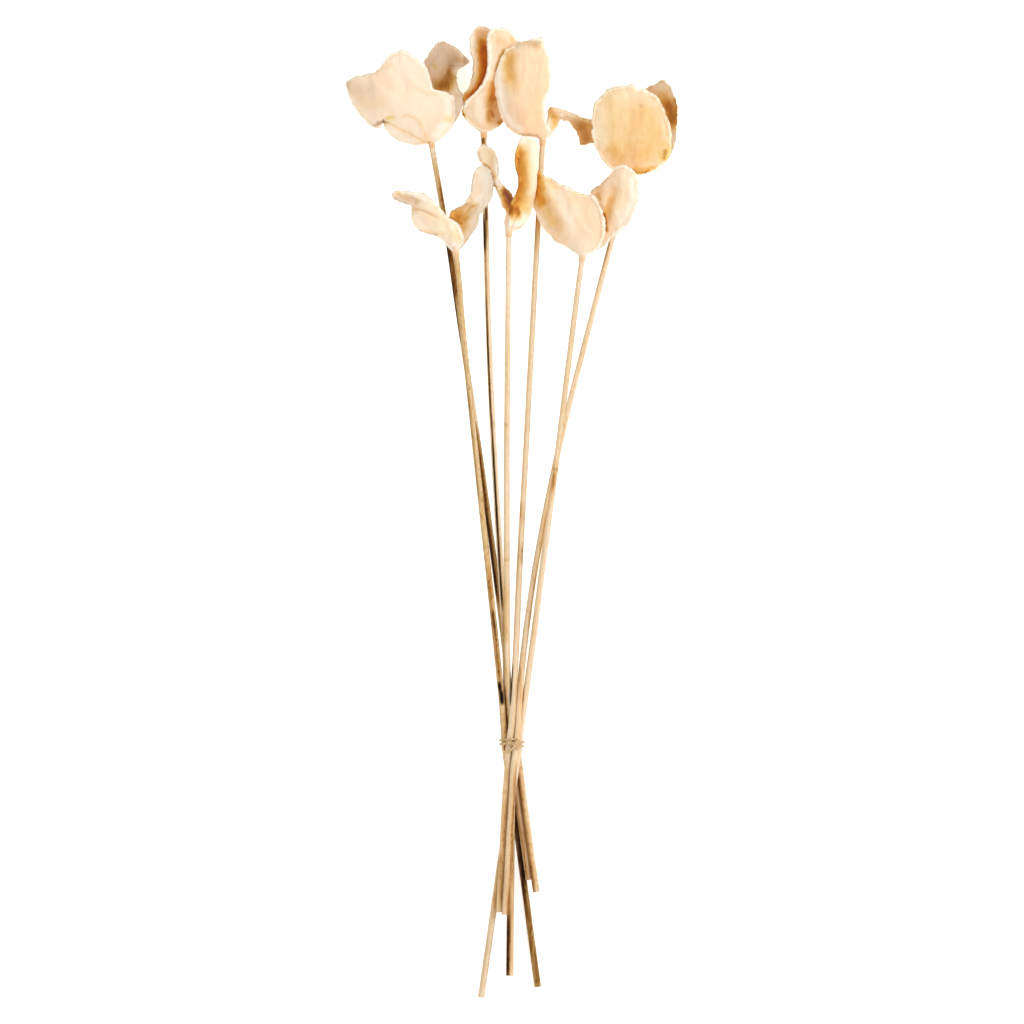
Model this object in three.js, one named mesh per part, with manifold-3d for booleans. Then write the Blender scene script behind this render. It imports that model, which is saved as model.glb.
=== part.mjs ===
import * as THREE from 'three';
import { mergeVertices } from 'three/addons/utils/BufferGeometryUtils.js';
import Module from 'manifold-3d';

// A bunch of seven bleached jacaranda pods on natural sticks, tied with twine and laid on its back.
// Millimetres: +X across the bunch, +Y towards the pods, +Z up from the surface it lies on.

// Driving dimensions
const stickSides = 8;
const socketGap = 0.3;
const socketDepth = 4.5;
const collarBelow = 2.5;
const collarAbove = 6;
const collarRadius = 3.2;
const valveThickness = 1.9;
const rimThickness = 1;
const valveCells = 12;
const twineDiameter = 1.3;
const twineSides = 6;
const twineGap = 0.45;
const bunchMiddle = { x: 0.07, y: 301.44 };

// Each pod has two woody valves that meet at its neck. A rim runs from the neck up the left edge
// to the tip and back down the right edge; belly is how far the middle of each rib stands off its
// chord, and skew moves the crest of the rib towards the left edge.
const pods = [
  {
    name: 'pod_1', // far left
    valves: [
      {
        rim: [
          [-50, 530.5, 24], [-57.5, 530.5, 22.5], [-66.5, 531, 22], [-74.5, 534.5, 23.5],
          [-79.5, 543, 25.5], [-87, 540.5, 27], [-95.5, 550, 29.5], [-100.5, 560.5, 30],
          [-103, 567.5, 30.5], [-96, 571.5, 33], [-87.5, 572.5, 36], [-82, 576.5, 37], [-77.5, 583, 38],
          [-72.5, 587, 38.5], [-66.5, 587.5, 39], [-60, 583, 38.5], [-54, 579, 37.5], [-51, 571.5, 36],
          [-48.5, 563.5, 34], [-41.5, 562, 32], [-36, 558.5, 29.5], [-34.5, 550.5, 27.5], [-37, 540.5, 26],
          [-43, 534, 25],
        ],
        belly: [4, 8, 10, 8, 4],
        skew: 0.2,
      },
      {
        rim: [
          [-49.5, 531.5, 22], [-55, 534, 20], [-60, 537, 16], [-64, 544.5, 12.5], [-65, 552.5, 10],
          [-63, 561.5, 9.5], [-59.5, 571, 10.5], [-55, 579.5, 14], [-51, 586.5, 19], [-47.5, 591, 23],
          [-44, 593.5, 25], [-39, 592, 24], [-33.5, 588.5, 22], [-29, 584, 20], [-26.5, 580.5, 18.5],
          [-30.5, 577, 17.5], [-32.5, 571, 17.5], [-32, 564, 18], [-30, 557, 19], [-36, 542, 19],
        ],
        belly: [-4, -11.5, -13.5, -6.5],
        skew: 0.6,
      },
    ],
  },
  {
    name: 'pod_2', // top, left of the middle
    valves: [
      {
        rim: [
          [-17.5, 537, 28], [-22.5, 539, 29.5], [-27, 543.5, 31.5], [-31, 548.5, 33.5], [-30, 553, 36.5],
          [-27.5, 557.5, 39.5], [-22, 562.5, 41.5], [-18.5, 568.5, 43.5], [-16, 577, 45], [-16, 587, 45.5],
          [-15, 596.5, 44.5], [-9.5, 602.5, 42.5], [-2.5, 600, 39.5], [3.5, 593.5, 36], [0, 588, 33],
          [-2.5, 581, 31], [-3.5, 573, 28.5], [-3, 564, 26], [-2.5, 556, 25], [-3.5, 548.5, 24],
          [-6, 542.5, 24], [-12, 538.5, 26.5],
        ],
        belly: [2, 4, 4, 3, 3, 2],
        skew: 0.3,
      },
      {
        rim: [
          [-18, 537, 26], [-23.5, 540, 21], [-28, 545, 20], [-30, 551, 22], [-29, 557, 25.5],
          [-26.5, 564, 30.5], [-25, 571.5, 33], [-25, 580.5, 35], [-26.5, 588.5, 36], [-26, 597, 36],
          [-20.5, 603, 34], [-13.5, 600.5, 30], [-10, 592.5, 23.5], [-8, 584.5, 18], [-6.5, 576, 14],
          [-6, 568, 11.5], [-7, 560, 10.5], [-8, 553, 11.5], [-9.5, 546, 14.5], [-13, 540, 20],
        ],
        belly: [-3, -5, -6, -5, -3],
        skew: 0,
      },
    ],
  },
  {
    name: 'pod_3', // top, right of the middle
    valves: [
      {
        rim: [
          [19, 533, 30], [13.5, 535, 31], [5.5, 535.5, 33], [-0.5, 538, 35], [-5.5, 543.5, 37.5],
          [-8, 552, 40.5], [-10, 561, 43], [-10.5, 570.5, 44], [-8, 579.5, 44.5], [-4.5, 587, 44.5],
          [0, 590, 44], [5.5, 592.5, 42.5], [12.5, 593, 42], [18.5, 595.5, 41], [20.5, 590, 41],
          [23, 583.5, 41], [24, 573.5, 41], [24, 565, 41], [21.5, 560, 40], [20, 555.5, 38.5],
          [20, 550, 37], [21.5, 543, 34.5], [24, 538, 32.5], [22.5, 534, 31],
        ],
        belly: [3, 6, 7, 6, 3],
        skew: 0.45,
      },
      {
        rim: [
          [20.5, 533, 28], [21, 539, 27.5], [22, 545.5, 27], [23, 552, 28], [27.5, 552, 28],
          [33, 550.5, 28], [39, 548.5, 27.5], [44.5, 546, 26], [50, 544.5, 24.5], [56, 541.5, 21],
          [56.5, 531.5, 14], [49.5, 530.5, 11], [43, 529.5, 10.5], [42, 534, 12.5], [40, 539, 15],
          [36.5, 543, 18], [32.5, 545.5, 20], [29, 544, 21], [27.5, 540.5, 22], [24.5, 536, 25],
        ],
        belly: [1, 1, 1, 2, 2],
        skew: 0,
      },
    ],
  },
  {
    name: 'pod_4', // far right
    valves: [
      {
        rim: [
          [73, 513, 28], [67, 513.5, 28.5], [61.5, 514.5, 29.5], [56.5, 519, 31.5], [53.5, 525, 34.5],
          [50.5, 531, 37], [49.5, 538.5, 38.5], [49.5, 547, 40], [51, 554.5, 41.5], [56, 560, 42],
          [59.5, 564, 42], [66.5, 565.5, 42], [74, 566.5, 41], [78.5, 564, 40], [84.5, 563, 39],
          [90, 558, 37.5], [94, 551, 36.5], [97, 543, 35], [98.5, 535.5, 33.5], [99, 528, 32],
          [97.5, 522, 30.5], [93, 516.5, 29], [85.5, 512.5, 28], [78.5, 511, 27.5],
        ],
        belly: [2, 4, 4, 2],
        skew: 0.1,
      },
      {
        rim: [
          [74, 513, 25.5], [69.5, 517, 21], [66.5, 522, 16.5], [64, 529, 13.5], [63, 537, 11],
          [64.5, 545.5, 9.5], [68, 553, 10], [74.5, 560, 13], [81, 563.5, 17], [87.5, 566.5, 20.5],
          [92.5, 569.5, 24], [97.5, 567, 24.5], [100.5, 561.5, 24], [102.5, 555, 23.5], [103, 548, 22.5],
          [102.5, 540.5, 21], [102, 534, 19], [100.5, 526.5, 18], [96.5, 519.5, 18], [88.5, 514, 19.5],
        ],
        belly: [-6, -12.5, -14.5, -8],
        skew: 0,
      },
    ],
  },
  {
    name: 'pod_5', // lower left
    valves: [
      {
        rim: [
          [-34, 464, 50], [-38.5, 465.5, 49], [-42.5, 469.5, 47], [-47.5, 473, 45.5], [-53, 474.5, 44.5],
          [-58, 477, 44], [-61, 481.5, 44.5], [-61, 487.5, 47.5], [-62.5, 491, 49.5], [-66.5, 492.5, 51.5],
          [-70, 494, 53.5], [-73.5, 495.5, 55], [-74.5, 498, 56.5], [-71.5, 500.5, 57],
          [-66.5, 500.5, 57.5], [-61, 499.5, 57.5], [-55, 499, 58.5], [-51, 496, 59], [-47, 492.5, 59],
          [-43, 488, 58.5], [-38.5, 483.5, 57.5], [-33.5, 480, 56], [-30.5, 474.5, 54.5],
          [-29.5, 468.5, 53],
        ],
        belly: [3, 5, 6, 4, 2],
        skew: -0.4,
      },
      {
        rim: [
          [-31.5, 465, 49], [-34.5, 471, 44.5], [-38, 478.5, 42], [-39, 486, 45], [-34.5, 489.5, 49],
          [-29.5, 492.5, 53], [-26, 498, 56], [-25, 504.5, 57.5], [-24, 511, 59], [-21.5, 514.5, 59.5],
          [-17.5, 516, 60], [-13.5, 513.5, 60], [-11.5, 508, 60], [-11.5, 501.5, 58.5], [-13, 495.5, 56.5],
          [-16.5, 490, 54.5], [-20, 485, 53], [-21.5, 478.5, 51.5], [-25, 473.5, 50.5], [-28.5, 468.5, 50],
        ],
        belly: [-4, -6, -5, -3],
        skew: 0,
      },
    ],
  },
  {
    name: 'pod_6', // lower middle
    valves: [
      {
        rim: [
          [-3, 475.5, 57], [-5.5, 480, 47], [-5.5, 485.5, 41], [-7, 491.5, 36.5], [-9, 497, 34],
          [-10, 503.5, 32.5], [-12, 509, 33.5], [-15.5, 514.5, 35.5], [-19, 518.5, 38],
          [-21.5, 523.5, 43.5], [-18, 529, 57], [-13.5, 527.5, 65], [-10, 523.5, 67.5], [-8, 517.5, 69.5],
          [-7, 511, 70], [-6, 504.5, 69.5], [-4, 500, 68], [-2, 495, 66], [-1, 488.5, 63.5],
          [-1, 481.5, 61],
        ],
        belly: [1.5, 2, 2, 1],
        skew: 0,
      },
      {
        rim: [
          [-0.5, 475.5, 57], [-2, 480, 59], [-2, 486, 61.5], [-1, 492.5, 64], [1.5, 497, 66.5],
          [3.5, 502.5, 68], [3.5, 508.5, 69.5], [2, 515, 70], [1.5, 521.5, 69], [3, 527.5, 67.5],
          [5.5, 532.5, 66.5], [9, 534, 65], [13, 533, 63], [16, 529, 61.5], [16.5, 523.5, 60],
          [15.5, 516.5, 58], [14.5, 509.5, 56.5], [13.5, 502, 55], [13.5, 495.5, 54], [12, 489, 54],
          [9.5, 483, 54], [5.5, 477.5, 55],
        ],
        belly: [3, 4, 5, 4, 2],
        skew: 0.4,
      },
    ],
  },
  {
    name: 'pod_7', // lower right
    valves: [
      {
        rim: [
          [43.5, 460, 56], [39, 462, 54], [33.5, 465.5, 51.5], [28, 468.5, 49], [23, 473.5, 47],
          [19, 478.5, 45.5], [16.5, 485, 45], [14.5, 491.5, 45], [13.5, 497, 46], [13.5, 503, 47],
          [14.5, 507, 48.5], [15, 510.5, 50], [16, 512.5, 51.5], [20, 510, 54.5], [25, 508, 56.5],
          [30, 504.5, 58], [35.5, 503, 59.5], [40.5, 499.5, 60.5], [46, 498, 61.5], [51, 497, 62],
          [55, 490.5, 62.5], [57.5, 483, 62], [58, 475, 61], [53.5, 464.5, 58.5],
        ],
        belly: [5, 9, 10, 7, 3],
        skew: 0.6,
      },
      {
        rim: [
          [44.5, 460.5, 54], [49.5, 465.5, 50], [54, 471, 47], [52.5, 478.5, 45], [51, 486.5, 44],
          [49, 494, 44], [49.5, 500.5, 45], [54.5, 504, 48], [59.5, 508.5, 51], [63, 513.5, 53.5],
          [69, 516, 56], [74.5, 514, 57], [78, 509, 57], [78.5, 502, 57], [78.5, 495.5, 57],
          [76.5, 488.5, 56.5], [74, 482.5, 56], [69.5, 477.5, 55], [64.5, 473.5, 54.5], [56, 465.5, 54],
        ],
        belly: [3, 6, 6, 4],
        skew: 0.4,
      },
    ],
  },
];

// The stick routes, from the pod neck to the cut end. They cross and roll over one another at the tie.
const stickRoutes = [
  [
    [-50, 530, 23], [-32.5, 419, 18.5], [-20.5, 340, 16], [-10.8, 268.5, 14],
    [-4.3, 216, 12.4], [-1.1, 185, 10.8], [1, 169, 11], [3.1, 155.5, 12.1],
    [4.9, 142, 13.1], [7.2, 123, 12.3], [11.4, 92, 11], [15.1, 65.5, 9.4],
  ],
  [
    [-17.5, 536, 27], [-14.7, 419, 21.5], [-11.3, 340, 19], [-7.2, 268.5, 17.9],
    [-4.1, 216, 17.2], [-3.6, 185, 14.1], [-3.2, 169, 12.6], [-1.1, 155.5, 10.8],
    [1.5, 142, 10.4], [3.6, 123, 9.9], [7.9, 92, 8.5], [10.6, 73, 7.2],
  ],
  [
    [19, 531.5, 29], [12.9, 419, 25.3], [8.7, 340, 22.5], [4.8, 268.5, 21],
    [2.5, 216, 20.7], [0.8, 185, 21.3], [-0.3, 169, 20.7], [-2, 155.5, 19.4],
    [-2.8, 142, 18.9], [-4.2, 123, 19.9], [-5.9, 92, 18.5], [-7.8, 53, 16.7],
  ],
  [
    [73, 512, 26], [48.6, 419, 22.5], [28.8, 340, 20.5], [14.8, 268.5, 19.5],
    [7.4, 216, 19.5], [4.5, 185, 19.3], [3.7, 169, 19.2], [2.3, 155.5, 19.7],
    [0.8, 142, 21.6], [-0.3, 123, 21.8], [-2.1, 92, 20.5], [-4.3, 51.5, 19.2],
  ],
  [
    [-33, 462, 50], [-31, 419, 42], [-22.7, 340, 31.5], [-15, 268.5, 24.5], [-9.5, 216, 21],
    [-6.4, 185, 18.6], [-5.2, 169, 16.9], [-4.4, 155.5, 14.6], [-2.7, 142, 10.5],
    [0.1, 123, 7.3], [4.6, 92, 5.4], [16, 6.5, 2.2],
  ],
  [
    [-2, 474.5, 57], [-2.6, 419, 47], [-3.2, 340, 33.5], [-3.3, 268.5, 26],
    [-3.2, 216, 21.8], [-2.1, 185, 18.2], [-0.7, 169, 16.2], [0.1, 155.5, 15.3],
    [-0.4, 142, 14.6], [-0.2, 123, 12.7], [-0.6, 92, 11.7], [-1.4, 13.5, 9.1],
  ],
  [
    [43.5, 459, 55], [38.2, 419, 47], [28.5, 340, 35.5], [19.1, 268.5, 27],
    [12.3, 216, 20.9], [8, 185, 17.2], [5.9, 169, 15.6], [4.5, 155.5, 16.2],
    [2.7, 142, 17.8], [-0.6, 123, 17.1], [-5.9, 92, 13.9], [-19.1, 0, 6],
  ],
];

// Diameters at the neck and at the cut end of each stick, thickening evenly between them.
const stickDiameters = [[3.4, 4.2], [3.4, 4.2], [3.4, 4.2], [3.4, 4.2], [3.4, 4.2], [3.2, 4.8], [3.4, 4.2]];

// The twine goes twice round the sticks, and its knot sits on the front with a small loop and an end.
const twineWrap = { turns: 2, pointsPerTurn: 16, topY: 160.5, bottomY: 155.5, startAngle: 1.15 };
const knotPlace = [1.7, 156.3, 23.35];
const knotSize = [2.1, 2.7, 1.2];
const knotStrands = [
  [[-0.6, 153.6, 23.25], [1.4, 156.4, 24.15], [3.5, 159.6, 23.35]],
  [[3.6, 153.9, 22.95], [1.8, 156.2, 23.95], [-0.2, 158.5, 23.25]],
];
const twineLoop = [
  [1.2, 156.4, 23.35], [-1.8, 157.8, 23.55], [-4.7, 157.4, 22.45], [-5.9, 154.9, 21.85],
  [-4.6, 152.4, 22.05], [-1.9, 152.4, 22.95], [1, 155, 23.35],
];
const twineTail = [[2.4, 157, 23.45], [4.7, 158.4, 22.35], [6.7, 158.4, 20.45]];

const colours = { pod: 0xf0dcc0, stick: 0xc99a5b, twine: 0xc8a878 };

const wasm = await Module();
wasm.setup();

function solidOf(geometry) {
  const bare = geometry.clone();
  bare.deleteAttribute('normal');
  bare.deleteAttribute('uv');
  const merged = mergeVertices(bare, 1e-4);
  return new wasm.Manifold(new wasm.Mesh({
    numProp: 3,
    vertProperties: new Float32Array(merged.attributes.position.array),
    triVerts: new Uint32Array(merged.index.array),
  }));
}

function geometryOf(solid) {
  const { vertProperties, triVerts } = solid.getMesh();
  const geometry = new THREE.BufferGeometry();
  geometry.setAttribute('position', new THREE.BufferAttribute(vertProperties, 3));
  geometry.setIndex(new THREE.BufferAttribute(triVerts, 1));
  return geometry;
}

function curveThrough(points, closed = false) {
  return new THREE.CatmullRomCurve3(points.map((p) => new THREE.Vector3(...p)), closed, 'catmullrom', 0.5);
}

// A value that runs smoothly through the list, and is zero at the neck and at the tip.
function alongList(values, share) {
  const padded = [-values[0], 0, ...values, 0, -values[values.length - 1]];
  const place = share * (values.length + 1);
  const step = Math.min(Math.floor(place), values.length);
  const t = place - step;
  const [a, b, c, d] = padded.slice(step, step + 4);
  return 0.5 * (2 * b + (c - a) * t + (2 * a - 5 * b + 4 * c - d) * t * t + (3 * b - a - 3 * c + d) * t * t * t);
}

// The middle surface of a valve over the unit disc: q runs from the neck to the tip, p across.
function valveSurface({ rim, belly, skew }) {
  const edge = curveThrough(rim, true);
  const middleAt = (share) => edge.getPoint(share / 2).add(edge.getPoint(1 - share / 2)).multiplyScalar(0.5);
  return (p, q) => {
    const angle = Math.acos(THREE.MathUtils.clamp(-q, -1, 1));
    const share = angle / Math.PI;
    const left = edge.getPoint(share / 2);
    const right = edge.getPoint(1 - share / 2);
    const halfWidth = Math.sin(angle);
    const across = halfWidth > 1e-6 ? THREE.MathUtils.clamp(p / halfWidth, -1, 1) : 0;
    const point = left.clone().lerp(right, (1 + across) / 2);
    const chord = right.sub(left);
    const ahead = middleAt(Math.min(share + 0.04, 1)).sub(middleAt(Math.max(share - 0.04, 0)));
    const outward = chord.cross(ahead).normalize();
    const rise = alongList(belly, share) * (1 - across * across) * (1 - skew * across);
    return point.addScaledVector(outward, rise);
  };
}

// Squares the grid's cell onto the disc ring by ring, so that its border becomes the rim.
function discPoint(u, v) {
  if (u === 0 && v === 0) return [0, 0];
  const wide = Math.abs(u) > Math.abs(v);
  const radius = wide ? u : v;
  const angle = wide ? (Math.PI / 4) * (v / u) : Math.PI / 2 - (Math.PI / 4) * (u / v);
  return [radius * Math.cos(angle), radius * Math.sin(angle)];
}

// Splits each cell along the diagonal that points at the middle, so that no sliver lies along the rim.
function discFaces() {
  const faces = [];
  for (let row = 0; row < valveCells; row += 1) {
    for (let column = 0; column < valveCells; column += 1) {
      const a = row * (valveCells + 1) + column;
      const b = a + valveCells + 1;
      const c = b + 1;
      const d = a + 1;
      if (row < valveCells / 2 === column < valveCells / 2) faces.push(a, b, c, a, c, d);
      else faces.push(a, b, d, b, c, d);
    }
  }
  return faces;
}

function valveSolid(valve) {
  const surface = valveSurface(valve);
  const grid = new THREE.PlaneGeometry(2, 2, valveCells, valveCells);
  const front = discFaces();
  grid.setIndex(front);
  const place = grid.attributes.position;
  const radii = [];
  for (let i = 0; i < place.count; i += 1) {
    const [p, q] = discPoint(place.getX(i), place.getY(i));
    radii.push(Math.hypot(p, q));
    place.setXYZ(i, ...surface(p, q).toArray());
  }
  grid.computeVertexNormals();

  const side = valveCells + 1;
  const border = [];
  for (let i = 0; i < valveCells; i += 1) border.push(i);
  for (let i = 0; i < valveCells; i += 1) border.push(i * side + valveCells);
  for (let i = valveCells; i > 0; i -= 1) border.push(valveCells * side + i);
  for (let i = valveCells; i > 0; i -= 1) border.push(i * side);

  const positions = [];
  for (const facing of [1, -1]) {
    for (let i = 0; i < place.count; i += 1) {
      const half = THREE.MathUtils.lerp(valveThickness, rimThickness, radii[i] ** 2) / 2;
      const point = new THREE.Vector3().fromBufferAttribute(place, i);
      const normal = new THREE.Vector3().fromBufferAttribute(grid.attributes.normal, i);
      positions.push(...point.addScaledVector(normal, facing * half).toArray());
    }
  }
  const faces = [...front];
  const back = place.count;
  for (let i = 0; i < front.length; i += 3) {
    const [a, b, c] = front.slice(i, i + 3);
    faces.push(back + a, back + c, back + b);
  }
  border.forEach((a, i) => {
    const b = border[(i + 1) % border.length];
    faces.push(a, b, back + a, b, back + b, back + a);
  });
  const shell = new THREE.BufferGeometry();
  shell.setAttribute('position', new THREE.Float32BufferAttribute(positions, 3));
  shell.setIndex(faces);
  return solidOf(shell);
}

// A turned profile stood on the neck, with its axis along the stick.
function turnedAt(profile, neck, direction, sides) {
  const geometry = new THREE.LatheGeometry(profile.map(([r, y]) => new THREE.Vector2(r, y)), sides);
  const turn = new THREE.Quaternion().setFromUnitVectors(new THREE.Vector3(0, 1, 0), direction);
  return geometry.applyQuaternion(turn).translate(...neck.toArray());
}

function stickTop(route) {
  const neck = new THREE.Vector3(...route[0]);
  const direction = neck.clone().sub(new THREE.Vector3(...route[1])).normalize();
  return { neck, direction };
}

function podGeometry(pod, i) {
  const { neck, direction } = stickTop(stickRoutes[i]);
  const collar = turnedAt([
    [0, -collarBelow],
    [collarRadius * 0.84, -collarBelow],
    [collarRadius, 0],
    [collarRadius, collarAbove * 0.5],
    [collarRadius * 0.55, collarAbove],
    [0, collarAbove],
  ], neck, direction, 12);
  const boreRadius = stickDiameters[i][0] / 2 + socketGap;
  const bore = turnedAt([
    [0, -collarBelow - 1],
    [boreRadius, -collarBelow - 1],
    [boreRadius, socketDepth - collarBelow],
    [0, socketDepth - collarBelow],
  ], neck, direction, 12);
  const surfaceBelow = new THREE.BoxGeometry(900, 900, 60).translate(0, bunchMiddle.y, -30);
  let solid = solidOf(collar);
  for (const valve of pod.valves) solid = solid.add(valveSolid(valve));
  solid = solid.subtract(solidOf(bore)).subtract(solidOf(surfaceBelow));
  return geometryOf(solid);
}

// A tube with the same number of steps between any two route points, so close points get short steps.
function tubeThrough(points, diameter, sides, stepsBetween) {
  const curve = curveThrough(points);
  curve.getPointAt = curve.getPoint;
  curve.getTangentAt = curve.getTangent;
  const section = new THREE.Shape();
  for (let i = 0; i < sides; i += 1) {
    const angle = (i / sides) * 2 * Math.PI;
    const corner = [(diameter / 2) * Math.cos(angle), (diameter / 2) * Math.sin(angle)];
    if (i === 0) section.moveTo(...corner);
    else section.lineTo(...corner);
  }
  const steps = stepsBetween * (points.length - 1);
  return new THREE.ExtrudeGeometry(section, { steps, extrudePath: curve, bevelEnabled: false });
}

function stickRadius(i, y) {
  const route = stickRoutes[i];
  const [atNeck, atEnd] = stickDiameters[i];
  const top = route[0][1];
  const share = (top - y) / (top - route[route.length - 1][1]);
  return THREE.MathUtils.lerp(atNeck, atEnd, THREE.MathUtils.clamp(share, 0, 1)) / 2;
}

// Each ring of the tube is scaled about its centre, so that the stick thickens towards its cut end.
function stickGeometry(i) {
  const route = stickRoutes[i];
  const { neck, direction } = stickTop(route);
  const seat = neck.clone().addScaledVector(direction, socketDepth - collarBelow - socketGap);
  const points = [seat.toArray(), ...route.slice(1)];
  const tube = tubeThrough(points, 2, stickSides, 2);
  const centres = curveThrough(points).getPoints(2 * (points.length - 1));
  const place = tube.attributes.position;
  for (let k = 0; k < place.count; k += 1) {
    const corner = new THREE.Vector3().fromBufferAttribute(place, k);
    const centre = centres.reduce((best, c) => (c.distanceTo(corner) < best.distanceTo(corner) ? c : best));
    corner.sub(centre).multiplyScalar(stickRadius(i, centre.y)).add(centre);
    place.setXYZ(k, ...corner.toArray());
  }
  return tube;
}

// Where a stick crosses the plane at this y, found by halving, because y falls steadily along it.
function stickAt(route, y) {
  const curve = curveThrough(route);
  let above = 0;
  let below = 1;
  for (let i = 0; i < 24; i += 1) {
    const middle = (above + below) / 2;
    if (curve.getPoint(middle).y > y) above = middle;
    else below = middle;
  }
  return curve.getPoint(above);
}

// A point of the twine's path round all the sticks, on the side that the angle points to.
function wrapPoint(angle, y) {
  const facing = new THREE.Vector3(Math.cos(angle), 0, Math.sin(angle));
  const outermost = stickRoutes
    .map((route, i) => stickAt(route, y).addScaledVector(facing, stickRadius(i, y)))
    .reduce((best, point) => (point.dot(facing) > best.dot(facing) ? point : best));
  return outermost.addScaledVector(facing, twineGap + twineDiameter / 2).setY(y);
}

function twineGeometry() {
  const { turns, pointsPerTurn, topY, bottomY, startAngle } = twineWrap;
  const count = turns * pointsPerTurn;
  const wrap = [];
  for (let i = 0; i <= count; i += 1) {
    const share = i / count;
    const angle = startAngle + share * turns * 2 * Math.PI;
    wrap.push(wrapPoint(angle, THREE.MathUtils.lerp(topY, bottomY, share)).toArray());
  }
  const knot = new THREE.IcosahedronGeometry(1, 2).scale(...knotSize).translate(...knotPlace);
  let solid = solidOf(knot);
  for (const strand of [wrap, twineLoop, twineTail, ...knotStrands]) {
    solid = solid.add(solidOf(tubeThrough(strand, twineDiameter, twineSides, 2)));
  }
  return geometryOf(solid);
}

function piece(name, geometry, colour, roughness) {
  const material = new THREE.MeshStandardMaterial({ color: colour, roughness, metalness: 0 });
  const mesh = new THREE.Mesh(geometry, material);
  mesh.name = name;
  return mesh;
}

const bunch = new THREE.Group();
pods.forEach((pod, i) => {
  bunch.add(piece(pod.name, podGeometry(pod, i), colours.pod, 0.7));
  bunch.add(piece(`stick_${i + 1}`, stickGeometry(i), colours.stick, 0.6));
});
bunch.add(piece('twine_tie', twineGeometry(), colours.twine, 0.9));
bunch.position.set(-bunchMiddle.x, -bunchMiddle.y, 0);

export default bunch;
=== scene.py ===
import bpy
import bmesh
import math
import numpy as np
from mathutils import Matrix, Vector, noise


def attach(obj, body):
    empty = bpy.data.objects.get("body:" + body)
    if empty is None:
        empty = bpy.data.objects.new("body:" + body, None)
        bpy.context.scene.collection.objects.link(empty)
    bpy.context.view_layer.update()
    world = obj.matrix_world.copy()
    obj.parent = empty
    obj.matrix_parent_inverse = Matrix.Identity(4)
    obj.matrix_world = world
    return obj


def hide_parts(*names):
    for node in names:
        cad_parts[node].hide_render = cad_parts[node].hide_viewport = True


# Seven bleached jacaranda pods on natural sticks, tied with twine and laid on a pale floor.
# Rims and routes are drawn in millimetres; bunchMiddle shifts them to the middle of the bunch.
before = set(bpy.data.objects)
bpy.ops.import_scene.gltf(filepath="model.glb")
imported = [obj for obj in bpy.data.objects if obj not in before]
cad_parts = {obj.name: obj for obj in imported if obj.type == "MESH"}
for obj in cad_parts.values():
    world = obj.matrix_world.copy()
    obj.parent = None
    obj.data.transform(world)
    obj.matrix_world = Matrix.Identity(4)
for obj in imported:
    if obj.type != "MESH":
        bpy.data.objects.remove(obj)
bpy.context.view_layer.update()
scene = bpy.context.scene
bunchMiddle = np.array([0.07, 301.44, 0.0])
print("frame loaded")


# A smooth curve through drawn points, open or closed
def splineAt(points, t, closed=False):
    points = np.asarray(points, float)
    t = np.asarray(t, float)
    count = len(points)
    if closed:
        place = (t % 1.0) * count
        step = np.floor(place).astype(int)
        a, b, c, d = (points[(step + k) % count] for k in (-1, 0, 1, 2))
    else:
        points = np.vstack([2 * points[0] - points[1], points, 2 * points[-1] - points[-2]])
        place = np.clip(t, 0, 1) * (count - 1)
        step = np.minimum(np.floor(place).astype(int), count - 2)
        a, b, c, d = (points[step + k] for k in (0, 1, 2, 3))
    f = (place - step)[..., None]
    return 0.5 * (2 * b + (c - a) * f + (2 * a - 5 * b + 4 * c - d) * f**2 + (3 * b - a - 3 * c + d) * f**3)


def unit(vectors):
    length = np.linalg.norm(vectors, axis=-1, keepdims=True)
    return vectors / np.maximum(length, 1e-9)


def smoothStep(value, low, high):
    f = np.clip((value - low) / (high - low), 0, 1)
    return f * f * (3 - 2 * f)


def bell(distance, width):
    return np.exp(-(distance / width)**2)


def noiseAt(places, seed):
    shift = Vector((seed * 7.31, seed * 3.17, seed * 5.93))
    values = [noise.noise(Vector(place) + shift) for place in places.reshape(-1, 3)]
    return np.array(values).reshape(places.shape[:-1])


def patchyShare(places, cover, seed):
    share = cover["middle"] + cover["swing"] * noiseAt(places * cover["grain"], seed)
    return np.clip(share, cover["least"], 1)


def meshFrom(bm, name):
    mesh = bpy.data.meshes.new(name)
    bm.to_mesh(mesh)
    bm.free()
    return mesh


def readPoints(mesh):
    flat = np.empty(len(mesh.vertices) * 3)
    mesh.vertices.foreach_get("co", flat)
    return flat.reshape(-1, 3)


def writePoints(mesh, points):
    mesh.vertices.foreach_set("co", ((points - bunchMiddle) * 0.001).ravel())
    mesh.update()


def setValue(mesh, name, values):
    layer = mesh.attributes.new(name, "FLOAT", "POINT")
    layer.data.foreach_set("value", np.asarray(values, np.float32))


def setUv(mesh, name, u, v):
    corner = np.empty(len(mesh.loops), int)
    mesh.loops.foreach_get("vertex_index", corner)
    layer = mesh.uv_layers[0] if mesh.uv_layers else mesh.uv_layers.new()
    layer.name = name
    layer.data.foreach_set("uv", np.stack([u[corner], v[corner]], -1).ravel())


def newObject(name, mesh, material):
    mesh.materials.clear()
    mesh.materials.append(material)
    mesh.polygons.foreach_set("use_smooth", [True] * len(mesh.polygons))
    made = bpy.data.objects.new(name, mesh)
    scene.collection.objects.link(made)
    return made


def joinAs(name, pieces):
    whole = pieces[0]
    with bpy.context.temp_override(active_object=whole, selected_editable_objects=pieces, object=whole):
        bpy.ops.object.join()
    whole.name = name
    return whole


# Shader helpers
def addNode(tree, kind, inputs=None, **settings):
    made = tree.nodes.new(kind)
    for key, value in settings.items():
        setattr(made, key, value)
    for key, value in (inputs or {}).items():
        socket = made.inputs[key]
        if isinstance(value, bpy.types.NodeSocket):
            tree.links.new(value, socket)
        else:
            socket.default_value = value
    return made


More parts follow.
